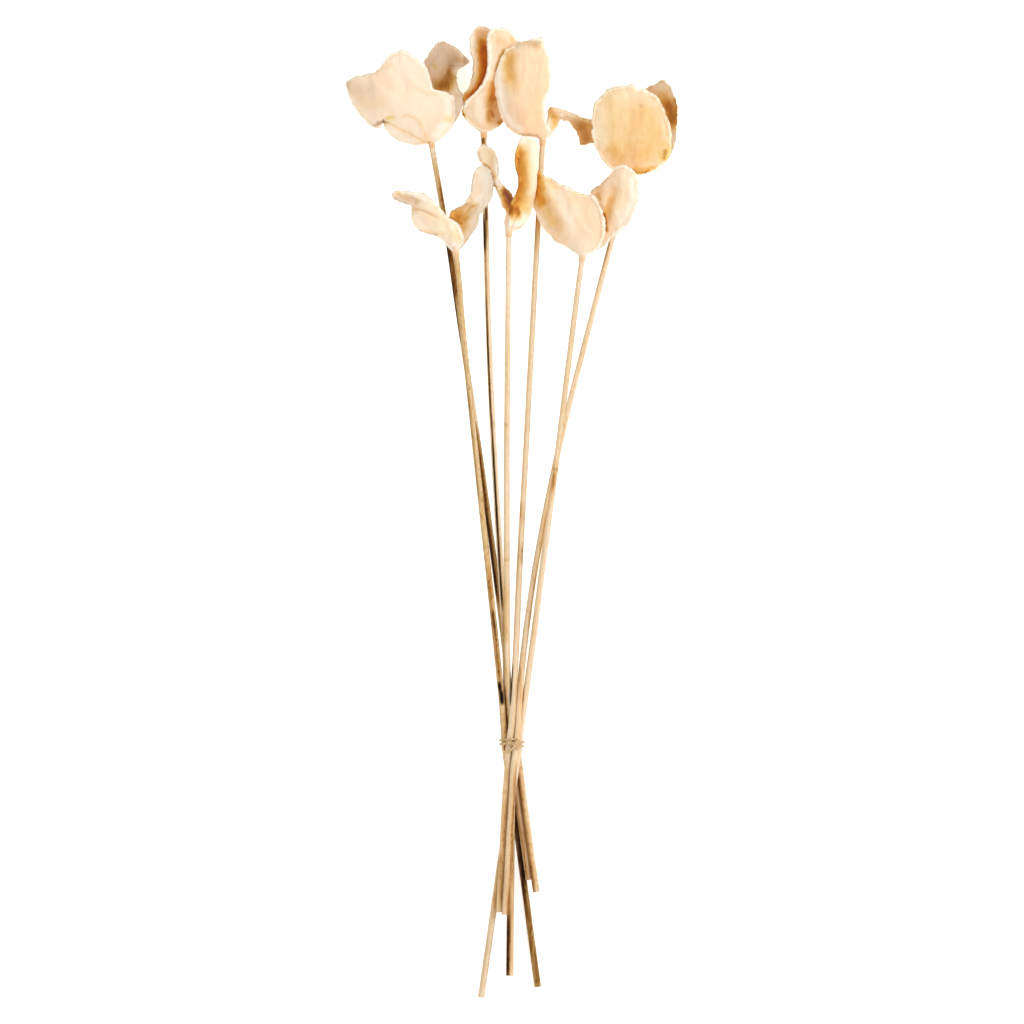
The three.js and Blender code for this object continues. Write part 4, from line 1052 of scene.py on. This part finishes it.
# From each pod's neck to the cut end
stickRoutes = [
    [
        [-50, 530, 23], [-43.4, 491.7, 21.4], [-38.7, 463.8, 20.3], [-32.3, 419, 18.5], [-20.5, 340, 16],
        [-10.8, 268.5, 14], [-4.3, 216, 12.4], [-1.1, 185, 10.8], [1, 169, 11], [3.1, 155.5, 12.1],
        [4.9, 142, 13.1], [7.2, 123, 12.3], [11.4, 92, 11], [15.1, 65.5, 9.4],
    ],
    [
        [-17.5, 536, 27], [-14.7, 419, 21.5], [-11.3, 340, 19], [-7.2, 268.5, 17.9], [-4.1, 216, 17.2],
        [-3.6, 185, 14.1], [-3.2, 169, 12.6], [-1.1, 155.5, 10.8], [1.5, 142, 10.4], [3.6, 123, 9.9],
        [7.9, 92, 8.5], [10.6, 73, 7.2],
    ],
    [
        [19, 531.5, 29], [12.9, 419, 25.3], [8.7, 340, 22.5], [4.8, 268.5, 21], [2.5, 216, 20.7],
        [0.8, 185, 21.3], [-0.3, 169, 20.7], [-2, 155.5, 19.4], [-2.8, 142, 18.9], [-4.2, 123, 19.9],
        [-5.9, 92, 18.5], [-7.8, 53, 16.7],
    ],
    [
        [73, 512, 26], [48.6, 419, 22.5], [28.8, 340, 20.5], [14.8, 268.5, 19.5], [7.4, 216, 19.5],
        [4.5, 185, 19.3], [3.7, 169, 19.2], [2.3, 155.5, 19.7], [0.8, 142, 21.6], [-0.3, 123, 21.8],
        [-2.1, 92, 20.5], [-4.3, 51.5, 19.2],
    ],
    [
        [-34.8, 462, 50], [-32.5, 441, 46], [-30.8, 419, 42], [-22.7, 340, 31.5], [-15, 268.5, 24.5],
        [-9.5, 216, 21], [-6.4, 185, 18.6], [-5.2, 169, 16.9], [-4.4, 155.5, 14.6], [-2.7, 142, 10.5],
        [0.1, 123, 7.3], [4.6, 92, 5.4], [16, 6.5, 2.2],
    ],
    [
        [-2, 474.5, 57], [-2.6, 419, 47], [-3.2, 340, 33.5], [-3.3, 268.5, 26], [-3.2, 216, 21.8],
        [-2.1, 185, 18.2], [-0.7, 169, 16.2], [0.1, 155.5, 15.3], [-0.4, 142, 14.6], [-0.2, 123, 12.7],
        [-0.6, 92, 11.7], [-1.4, 13.5, 9.1],
    ],
    [
        [43.5, 459, 55], [38.2, 419, 47], [28.5, 340, 35.5], [19.1, 268.5, 27], [12.3, 216, 20.9],
        [8, 185, 17.2], [5.9, 169, 15.6], [4.5, 155.5, 16.2], [2.7, 142, 17.8], [-0.6, 123, 17.1],
        [-5.9, 92, 13.9], [-19.1, 0, 6],
    ],
]

for i, pod in enumerate(pods):
    neck, below = np.array(stickRoutes[i][:2], float)
    shells = [makeValve(f"{pod['name']}_valve{k}", valve, 10 * i + 4 * k + 1, pod.get("paleness", 0))
              for k, valve in enumerate(pod["valves"])]
    shells.append(makeCollar(pod["name"] + "_neck", neck, unit(neck - below), i))
    whole = joinAs("bleached_" + pod["name"], shells)
    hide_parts(pod["name"])
    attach(whole, "root")
print("pods made")

# Straw-tan sticks with lengthwise grain, brown mottling and small scars, with painted shade along their
# flanks and where one stick lies in another's shadow
# the black tone is painted shadow between the sticks; the others are partly the sticks' own colour and
# partly painted shade
streakTones = ("tan", "yellow", "grey", "olive", "orange", "brown", "black")
stickWood = {
    "straw": (0.69, 0.53, 0.33, 1), "cream": (0.83, 0.66, 0.49, 1), "pale": (0.93, 0.83, 0.70, 1),
    "tan": (0.86, 0.70, 0.50, 1), "yellow": (0.93, 0.84, 0.50, 1), "grey": (0.62, 0.57, 0.48, 1),
    "olive": (0.56, 0.48, 0.27, 1), "orange": (0.86, 0.58, 0.30, 1), "brown": (0.40, 0.24, 0.09, 1),
    "black": (0.05, 0.03, 0.015, 1), "fibres": (1500, 0.035), "fibreShare": 0.2,
    "raggedScale": 420.0, "raggedStretch": 0.12, "weakest": 0.6, "strongest": 1.3,
    "dots": (780, 0.55, 0.63), "dotStretch": 0.4,
    "roughness": 0.6, "smoothest": 0.5, "roughest": 0.75, "specular": 0.1, "bump": 0.35, "bumpDepth": 0.0004,
}


def makeStickMaterial(look):
    material, tree, shader = newMaterial("strawTanStick", look["roughness"], look["specular"])
    place = objectPlace(tree)
    fibres, fibreHeight = useFibres(tree, place, *look["fibres"])
    colour = mixColour(tree, attributeOf(tree, "tone"), look["cream"], look["straw"])
    colour = mixColour(tree, attributeOf(tree, "paleStainAndShading"), colour, look["pale"])
    ragged = cloudOf(tree, stretchPlace(tree, place, look["raggedStretch"]), look["raggedScale"])
    ragged = noiseTo(tree, ragged, look["weakest"], look["strongest"])
    colour = stainAndShadingColour(tree, colour, look, streakTones, ragged)
    dots = usePatches(tree, stretchPlace(tree, place, look["dotStretch"]), *look["dots"])
    colour = filterColour(tree, colour, look["brown"], multiply(tree, dots, attributeOf(tree, "mottle")))
    colour = filterColour(tree, colour, look["olive"], multiply(tree, fibres, look["fibreShare"]))
    tree.links.new(colour, shader.inputs["Base Color"])
    roughenWood(tree, shader, look, fibreHeight)
    addBump(tree, shader, look, fibreHeight)
    return material


stickMaterial = makeStickMaterial(stickWood)
stickBuild = {
    "ends": [(1.7, 2.1)] * 5 + [(1.6, 2.4), (1.7, 2.1)],  # radius at the neck and at the cut end
    "inset": 0.05, "around": 20, "ring": 1.3, "seat": 1.7, "radiusWave": 0.02, "waveGrain": 0.035,
    "ridge": 0.05, "ridgeGrain": 1.4, "ridgeStretch": 0.012, "swelling": 0.1, "swellingTall": 1.6,
    "softEnd": 14, "softShare": 0.45, "edgeFrom": 0.55, "edgeTo": 0.93,
    "edgeCover": {"grain": (0.1, 0.03, 0), "middle": 0.7, "swing": 0.9, "least": 0.2},
    "scarBrown": 0.7, "scarAbove": 0.6, "scarTall": 0.7, "toneWave": 0.35, "brownMottle": 0.8,
}


def evenPath(points, spacing):
    dense = splineAt(points, np.linspace(0, 1, 1600))
    gone = np.concatenate([[0], np.cumsum(np.linalg.norm(np.diff(dense, axis=0), axis=1))])
    count = max(int(gone[-1] / spacing), 4)
    wanted = np.linspace(0, gone[-1], count + 1)
    return np.stack([np.interp(wanted, gone, dense[:, k]) for k in range(3)], -1), wanted


def framesAlong(path):
    ahead = unit(np.gradient(path, axis=0))
    up = np.zeros_like(path)
    current = np.array([0.0, 0.0, 1.0])
    for i, direction in enumerate(ahead):
        current = unit(current - direction * (current @ direction))
        up[i] = current
    return np.cross(ahead, up), up


def makeTube(name, path, around, radiusAt, material):
    steps = len(path) - 1
    bm = bmesh.new()
    bmesh.ops.create_grid(bm, x_segments=steps, y_segments=around, size=0.5, calc_uvs=True)
    for vert in bm.verts:  # rolled up round the first axis
        turn = (vert.co.y + 0.5) * 2 * math.pi
        vert.co = (vert.co.x + 0.5, math.cos(turn), math.sin(turn))
    bmesh.ops.remove_doubles(bm, verts=bm.verts[:], dist=1e-5)
    bmesh.ops.holes_fill(bm, edges=[edge for edge in bm.edges if edge.is_boundary], sides=0)
    bmesh.ops.recalc_face_normals(bm, faces=bm.faces[:])
    mesh = meshFrom(bm, name)
    flat = readPoints(mesh)
    row = np.rint(flat[:, 0] * steps).astype(int)
    angle = np.arctan2(flat[:, 2], flat[:, 1])
    right, up = framesAlong(path)
    outward = right[row] * np.cos(angle)[:, None] + up[row] * np.sin(angle)[:, None]
    writePoints(mesh, path[row] + outward * radiusAt(row, angle)[:, None])
    return newObject(name, mesh, material), row, angle


# A streak lies along a stick from one height to another; side runs from -1 (left) to 1 (right). Streaks are
# partly the stick's own colour and partly painted shade, chiefly the black, brown and olive ones on the left
# flanks and where sticks lie in each other's shadow
def streak(tone, side, spread, amount, top, end):
    return {"tone": tone, "side": side, "spread": spread, "amount": amount, "top": top, "end": end}


# Rings are small swellings, each with its height and strength; edges are a tone's left and right share,
# painted shade and highlight along the flanks
stickLooks = [
    {
        "tone": 0.35, "mottle": 0.25, "edges": {"olive": (0.9, 0), "grey": (0, 0.6)},
        "streaks": [
            streak("pale", 0, 1.2, 0.5, 530, 519.5), streak("orange", 0.1, 0.35, 0.8, 519.5, 509.5),
            streak("tan", 0, 1.2, 0.5, 512, 491.5), streak("olive", 0, 0.8, 0.55, 504.5, 485),
            streak("brown", 0.6, 0.4, 0.9, 507, 483.5), streak("olive", 0.2, 1.2, 1.2, 467, 414),
            streak("brown", 0, 1.6, 1.3, 470, 436), streak("black", -0.9, 0.25, 1, 467, 410),
            streak("brown", -0.15, 0.45, 1.5, 354, 300), streak("brown", -0.4, 0.55, 1.3, 305, 247),
            streak("olive", 0.3, 1.1, 0.8, 352, 216), streak("black", -0.6, 0.35, 0.6, 309, 250),
            streak("brown", 0, 1.2, 0.45, 262, 209.5), streak("brown", -0.8, 0.5, 0.9, 141.5, 65.5),
            streak("tan", 0, 1.2, 0.6, 185, 65.5),
        ],
    },
    {
        "tone": 0.15, "mottle": 0.15, "rings": [(355.5, 0.4)],
        "edges": {"grey": (0, 0.7), "pale": (0.9, 0)},
        "streaks": [
            streak("brown", -0.4, 0.7, 1.3, 538, 528.5), streak("black", 0.15, 0.35, 0.7, 490.5, 482.5),
            streak("black", -0.6, 0.45, 1, 484, 464), streak("olive", 0.1, 0.6, 0.8, 488.5, 470),
            streak("brown", -0.45, 0.28, 0.9, 467, 358.5), streak("black", -0.45, 0.2, 0.8, 430, 355),
            streak("black", -0.25, 0.22, 1.5, 362, 245), streak("olive", -0.1, 0.35, 0.7, 346, 240),
            streak("pale", 0.4, 0.7, 0.4, 430, 262), streak("brown", 0, 1.2, 0.45, 234.5, 191),
            streak("black", 0.2, 0.7, 1.3, 203, 162), streak("tan", 0, 1.2, 0.9, 141.5, 73),
            streak("brown", -0.6, 0.5, 0.5, 123, 73),
        ],
    },
    {
        "tone": 0.1, "mottle": 0.1, "rings": [(127, 0.6)], "edges": {"tan": (0.8, 0), "grey": (0, 0.9)},
        "streaks": [
            streak("olive", -0.9, 0.35, 0.6, 531.5, 510.5), streak("tan", 0, 1.2, 0.5, 497, 464),
            streak("brown", -0.8, 0.4, 0.7, 492.5, 467), streak("orange", 0.1, 0.7, 0.6, 495, 473.5),
            streak("brown", 0.3, 0.4, 0.35, 491.5, 475), streak("tan", -0.85, 0.35, 0.8, 467, 290),
            streak("grey", 0.9, 0.3, 0.5, 457.5, 222), streak("brown", -0.6, 0.3, 0.5, 307, 297.5),
            streak("tan", 0.3, 0.5, 0.7, 309, 295), streak("brown", 0.55, 0.35, 0.7, 281, 269.5),
            streak("olive", -0.6, 0.4, 0.5, 286.5, 259), streak("black", -0.95, 0.25, 1.3, 204, 184),
            streak("tan", 0.7, 0.4, 0.8, 203.5, 163), streak("tan", 0, 1.2, 0.8, 144.5, 53.5),
            streak("brown", 0.4, 0.45, 0.5, 123, 57.5), streak("brown", -0.4, 0.35, 0.4, 88.5, 73),
            streak("olive", 0, 1.2, 0.3, 85.5, 53.5),
        ],
    },
    {
        "tone": 0.15, "mottle": 0.12, "rings": [(239.5, 0.4)], "edges": {"grey": (1, 0), "tan": (0, 0.8)},
        "streaks": [
            streak("olive", -0.8, 0.45, 0.9, 468, 456.5), streak("tan", -0.6, 0.4, 0.5, 466, 448.5),
            streak("tan", 0.6, 0.4, 0.4, 414, 321), streak("orange", 0.35, 0.5, 0.5, 327.5, 290),
            streak("brown", 0.6, 0.3, 0.5, 305.5, 231.5), streak("olive", 0.9, 0.3, 0.4, 284, 216),
            streak("tan", 0, 0.8, 0.6, 212.5, 185), streak("brown", -0.4, 0.25, 0.4, 204.5, 196),
            streak("orange", 0.5, 0.6, 0.5, 191, 160), streak("brown", 0.9, 0.4, 1, 141.5, 51.5),
            streak("tan", 0.2, 0.9, 0.6, 141.5, 51.5),
        ],
    },
    {
        "tone": 0.5, "mottle": 0.4, "rings": [(279, 0.4), (57.5, 0.4)],
        "edges": {"olive": (0.6, 0.6), "grey": (0.4, 0.2)},
        "streaks": [
            streak("yellow", 0, 1.2, 0.35, 462, 405), streak("tan", 0, 1.2, 0.45, 456.5, 271.5),
            streak("olive", -0.6, 0.45, 0.9, 383, 309), streak("olive", -0.7, 0.4, 0.4, 433, 383),
            streak("yellow", 0.1, 0.7, 0.4, 305.5, 281), streak("orange", 0.2, 0.6, 0.45, 278, 247),
            streak("tan", 0, 1.2, 0.4, 271.5, 185), streak("brown", -0.2, 0.6, 0.5, 265.5, 191),
            streak("brown", 0.05, 0.45, 0.9, 242, 188), streak("black", 0, 0.3, 0.5, 239.5, 225.5),
            streak("black", -0.25, 0.38, 3, 195, 191), streak("black", 0, 0.42, 3, 190.3, 183),
            streak("brown", 0.1, 0.5, 1.5, 157.5, 153.5), streak("orange", 0.2, 0.9, 0.5, 181.5, 160),
            streak("tan", 0, 1.2, 0.6, 147.5, 115.5), streak("brown", 0.3, 0.6, 0.6, 129, 104),
            streak("black", 0.1, 1.1, 0.8, 135, 73), streak("brown", 0, 1.3, 0.7, 115.5, 6),
            streak("olive", 0, 1.2, 1.1, 85, 6), streak("black", -0.4, 0.4, 0.5, 92, 57.5),
        ],
    },
    {
        "tone": 0.08, "mottle": 0.1, "rings": [(355.5, 0.3), (271.5, 0.4)],
        "edges": {"tan": (0.9, 0), "grey": (0, 0.7)},
        "streaks": [
            streak("pale", 0, 1.2, 0.4, 472.5, 433), streak("yellow", 0, 0.9, 0.3, 414, 346),
            streak("tan", 0, 1.2, 0.35, 284, 222), streak("olive", -0.9, 0.35, 0.7, 256, 203.5),
            streak("orange", 0.1, 0.6, 0.45, 253, 222), streak("tan", -0.3, 0.5, 0.8, 207, 189.5),
            streak("brown", -0.85, 0.4, 1.1, 191, 163), streak("brown", 0.9, 0.3, 0.5, 202, 191),
            streak("tan", 0, 1.2, 0.8, 141.5, 13.5), streak("brown", 0.4, 0.35, 0.6, 101, 70),
            streak("brown", -0.65, 0.5, 0.9, 70, 36), streak("black", -0.6, 0.45, 0.8, 51.5, 13.5),
            streak("brown", -0.5, 0.45, 0.9, 42, 13.5), streak("grey", 0.6, 0.4, 0.35, 61, 13.5),
        ],
    },
    {
        "tone": 0.1, "mottle": 0.1, "rings": [(327.5, 0.5), (95, 0.5)],
        "edges": {"tan": (0.7, 0), "grey": (0, 0.8)},
        "streaks": [
            streak("yellow", 0.1, 0.7, 0.25, 414, 358.5), streak("tan", 0.7, 0.4, 0.3, 433, 333.5),
            streak("brown", -0.2, 0.45, 0.6, 326, 315), streak("orange", 0, 0.8, 0.5, 332.5, 309),
            streak("tan", -0.9, 0.4, 0.5, 315, 247), streak("tan", 0, 0.8, 0.45, 247, 216),
            streak("brown", -0.9, 0.4, 0.6, 191, 163), streak("tan", 0, 1.2, 0.7, 135, 57.5),
            streak("brown", 0.5, 0.5, 0.7, 104, 51), streak("olive", 0, 1.2, 0.4, 92, 57.5),
            streak("brown", 0.75, 0.35, 0.6, 67, 53.5), streak("grey", -0.6, 0.5, 0.5, 104, 5),
            streak("grey", 0.7, 0.4, 0.3, 51.5, 5),
        ],
    },
]

def stickRadius(i, y):
    atNeck, atEnd = stickBuild["ends"][i]
    top, end = stickRoutes[i][0][1], stickRoutes[i][-1][1]
    return atNeck + (atEnd - atNeck) * np.clip((top - y) / (top - end), 0, 1)


def streakStrength(mark, y, side):
    soft = min(stickBuild["softEnd"], (mark["top"] - mark["end"]) * stickBuild["softShare"]) / 2
    along = smoothStep(y, mark["end"] - soft, mark["end"] + soft)
    along = along * smoothStep(-y, -mark["top"] - soft, -mark["top"] + soft)
    return mark["amount"] * along * bell(side - mark["side"], mark["spread"])


def makeStick(i, route, look):
    build = stickBuild
    rings = look.get("rings", [])
    neck, below = np.array(route[:2], float)
    path, gone = evenPath([neck + unit(neck - below) * build["seat"], *route[1:]], build["ring"])
    slowWave = noiseAt(np.stack([gone * build["waveGrain"], 0 * gone, 0 * gone], -1), 40 + i)

    def radiusAt(row, angle):
        y = path[row, 1]
        grain = build["ridgeGrain"]
        flank = np.stack([np.cos(angle) * grain, np.sin(angle) * grain, y * build["ridgeStretch"]], -1)
        reach = (stickRadius(i, y) - build["inset"]) * (1 + build["radiusWave"] * slowWave[row])
        reach = reach + build["ridge"] * noiseAt(flank, 60 + i)
        for height, rise in rings:
            reach += build["swelling"] * rise * bell(y - height, build["swellingTall"])
        return reach

    stick, row, angle = makeTube(f"natural_stick_{i + 1}", path, build["around"], radiusAt, stickMaterial)
    y, side = path[row, 1], -np.cos(angle)
    amounts = {tone: np.zeros(len(row)) for tone in ("pale", *streakTones)}
    # streaks: the stick's own colour and painted shade
    for mark in look["streaks"]:
        amounts[mark["tone"]] = np.maximum(amounts[mark["tone"]], streakStrength(mark, y, side))
    # painted shade and highlight along both flanks
    for tone, shares in look["edges"].items():
        for share, flank in zip(shares, (-side, side)):
            ragged = patchyShare(np.stack([flank, y, 0 * y], -1), build["edgeCover"], 80 + i)
            band = smoothStep(flank, build["edgeFrom"], build["edgeTo"])
            amounts[tone] = np.maximum(amounts[tone], share * ragged * band)
    for height, rise in rings:
        scar = build["scarBrown"] * rise * bell(y - height - build["scarAbove"], build["scarTall"])
        amounts["brown"] = np.maximum(amounts["brown"], scar)
    for tone, amount in amounts.items():
        setValue(stick.data, tone + "StainAndShading", amount)
    setValue(stick.data, "tone", look["tone"] + build["toneWave"] * slowWave[row])
    setValue(stick.data, "mottle", look["mottle"] + build["brownMottle"] * np.minimum(amounts["brown"], 1))
    return stick


for i, (route, look) in enumerate(zip(stickRoutes, stickLooks)):
    stick = makeStick(i, route, look)
    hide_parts(f"stick_{i + 1}")
    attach(stick, "root")
print("sticks made")

# Jute twine wound twice round the bunch, with its knot, loop and short end
jute = {
    "light": (0.77, 0.57, 0.30, 1), "dark": (0.34, 0.19, 0.06, 1), "fuzzScale": 2600.0,
    "fuzzFrom": 0.35, "fuzzTo": 0.7, "patches": (500, 0.45, 0.7),
    "roughness": 0.85, "specular": 0.15, "bump": 0.6, "bumpDepth": 0.0003,
}


def makeJuteMaterial(look):
    material, tree, shader = newMaterial("juteTwine", look["roughness"], look["specular"])
    place = objectPlace(tree)
    fuzz = cloudOf(tree, place, look["fuzzScale"], detail=3.0)
    fibres = rangeOf(tree, fuzz, look["fuzzFrom"], look["fuzzTo"])
    colour = mixColour(tree, fibres, look["light"], look["dark"])
    colour = mixColour(tree, usePatches(tree, place, *look["patches"]), colour, look["light"])
    tree.links.new(colour, shader.inputs["Base Color"])
    addBump(tree, shader, look, fuzz)
    return material


juteMaterial = makeJuteMaterial(jute)
twine = {
    "turns": 2, "pointsPerTurn": 16, "topY": 160.5, "bottomY": 155.5, "startAngle": 1.15, "standOff": 0.72,
    "plies": 3, "plyRadius": 0.3, "plyOffset": 0.28, "twist": 2.8, "spacing": 0.3, "around": 8,
    "loop": [[1.2, 156.4, 23.35], [-1.8, 157.8, 23.55], [-4.7, 157.4, 22.45], [-5.9, 154.9, 21.85],
             [-4.6, 152.4, 22.05], [-1.9, 152.4, 22.95], [1, 155, 23.35]],
    "tail": [[2.4, 157, 23.45], [4.7, 158.4, 22.35], [6.7, 158.4, 20.45]],
    "knot": [[[-0.6, 153.6, 23.25], [1.4, 156.4, 24.15], [3.5, 159.6, 23.35]],
             [[3.6, 153.9, 22.95], [1.8, 156.2, 23.95], [-0.2, 158.5, 23.25]]],
}
stickCurves = [splineAt(route, np.linspace(0, 1, 1200)) for route in stickRoutes]


# The point of the bunch that lies furthest out in one direction, at one height
def wrapPoint(angle, y):
    facing = np.array([math.cos(angle), 0, math.sin(angle)])
    crossings = []
    for i, curve in enumerate(stickCurves):
        x, z = (np.interp(-y, -curve[:, 1], curve[:, k]) for k in (0, 2))
        crossings.append(np.array([x, y, z]) + facing * stickRadius(i, y))
    outermost = max(crossings, key=lambda point: point @ facing)
    return outermost + facing * twine["standOff"]


def wrapLine():
    count = twine["turns"] * twine["pointsPerTurn"]
    line = []
    for k in range(count + 1):
        angle = twine["startAngle"] + k / twine["pointsPerTurn"] * 2 * math.pi
        line.append(wrapPoint(angle, twine["topY"] + (twine["bottomY"] - twine["topY"]) * k / count))
    return line


def plyRadiusAt(row, angle):
    return np.full(len(row), twine["plyRadius"])


strands = []
for s, line in enumerate([wrapLine(), twine["loop"], twine["tail"], *twine["knot"]]):
    centre, gone = evenPath(line, twine["spacing"])
    right, up = framesAlong(centre)
    for ply in range(twine["plies"]):
        turn = (gone / twine["twist"] + ply / twine["plies"]) * 2 * math.pi
        path = centre + twine["plyOffset"] * (right * np.cos(turn)[:, None] + up * np.sin(turn)[:, None])
        strands.append(makeTube(f"twine_{s}_{ply}", path, twine["around"], plyRadiusAt, juteMaterial)[0])
tie = joinAs("jute_twine_tie", strands)
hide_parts("twine_tie")
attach(tie, "root")
print("twine made")

# Floor, light and camera
studio = {
    "floor": (0.95, 0.95, 0.95, 1), "floorSpeck": (0.8, 0.8, 0.8, 1), "speckScale": 300.0,
    "speckShare": 0.015, "floorSize": 4, "floorRoughness": 0.9, "floorSpecular": 0.1, "floorGlow": 0.42,
    "keyPlace": (1.5, 0.6, 1.5), "keyAim": (0, 0.1, 0), "keySize": 1.2, "keyPower": 8.6,
    "keyColour": (1.0, 0.98, 0.95), "skyLeft": (0.77, 0.735, 0.68, 1), "skyRight": (1.34, 1.34, 1.34, 1),
    "skyEdge": 0.9, "cameraHeight": 28.0, "frameWidth": 0.63488, "frameHeight": 0.045,
    "middle": (-0.00007, -0.00012), "sensor": 36, "clipEnd": 100,
}


def makeFloor():
    bm = bmesh.new()
    bmesh.ops.create_grid(bm, x_segments=4, y_segments=4, size=studio["floorSize"])
    material, tree, shader = newMaterial("paleFloor", studio["floorRoughness"], studio["floorSpecular"])
    grain = cloudOf(tree, objectPlace(tree), studio["speckScale"])
    specks = noiseTo(tree, grain, 0.0, studio["speckShare"])
    colour = mixColour(tree, specks, studio["floor"], studio["floorSpeck"])
    tree.links.new(colour, shader.inputs["Base Color"])
    shader.inputs["Emission Color"].default_value = (1, 1, 1, 1)
    shader.inputs["Emission Strength"].default_value = studio["floorGlow"]
    floor = newObject("floor", meshFrom(bm, "floor"), material)


def makeKeyLight():
    data = bpy.data.lights.new("keyLight", "AREA")
    data.shape = "DISK"
    data.size = studio["keySize"]
    data.energy = studio["keyPower"]
    data.color = studio["keyColour"]
    lamp = bpy.data.objects.new("keyLight", data)
    lamp.location = studio["keyPlace"]
    towards = Vector(studio["keyAim"]) - Vector(studio["keyPlace"])
    lamp.rotation_euler = towards.to_track_quat("-Z", "Y").to_euler()
    scene.collection.objects.link(lamp)


# Bright from the right, dim and warm from the left
def makeSky():
    world = bpy.data.worlds.new("studioSky")
    world.use_nodes = True
    tree = world.node_tree
    facing = addNode(tree, "ShaderNodeTexCoord").outputs["Generated"]
    across = addNode(tree, "ShaderNodeSeparateXYZ", {0: facing}).outputs["X"]
    sockets = {0: across, 1: -studio["skyEdge"], 2: studio["skyEdge"]}
    share = addNode(tree, "ShaderNodeMapRange", sockets).outputs[0]
    colour = mixColour(tree, share, studio["skyLeft"], studio["skyRight"])
    tree.links.new(colour, tree.nodes["Background"].inputs["Color"])
    scene.world = world


def makeCamera():
    data = bpy.data.cameras.new("camera")
    data.sensor_width = studio["sensor"]
    data.lens = studio["sensor"] * (studio["cameraHeight"] - studio["frameHeight"]) / studio["frameWidth"]
    data.clip_end = studio["clipEnd"]
    camera = bpy.data.objects.new("camera", data)
    camera.location = (*studio["middle"], studio["cameraHeight"])
    scene.collection.objects.link(camera)
    scene.camera = camera


makeFloor()
makeKeyLight()
makeSky()
makeCamera()
scene.view_settings.view_transform = "Standard"
print("stage, light and camera set")
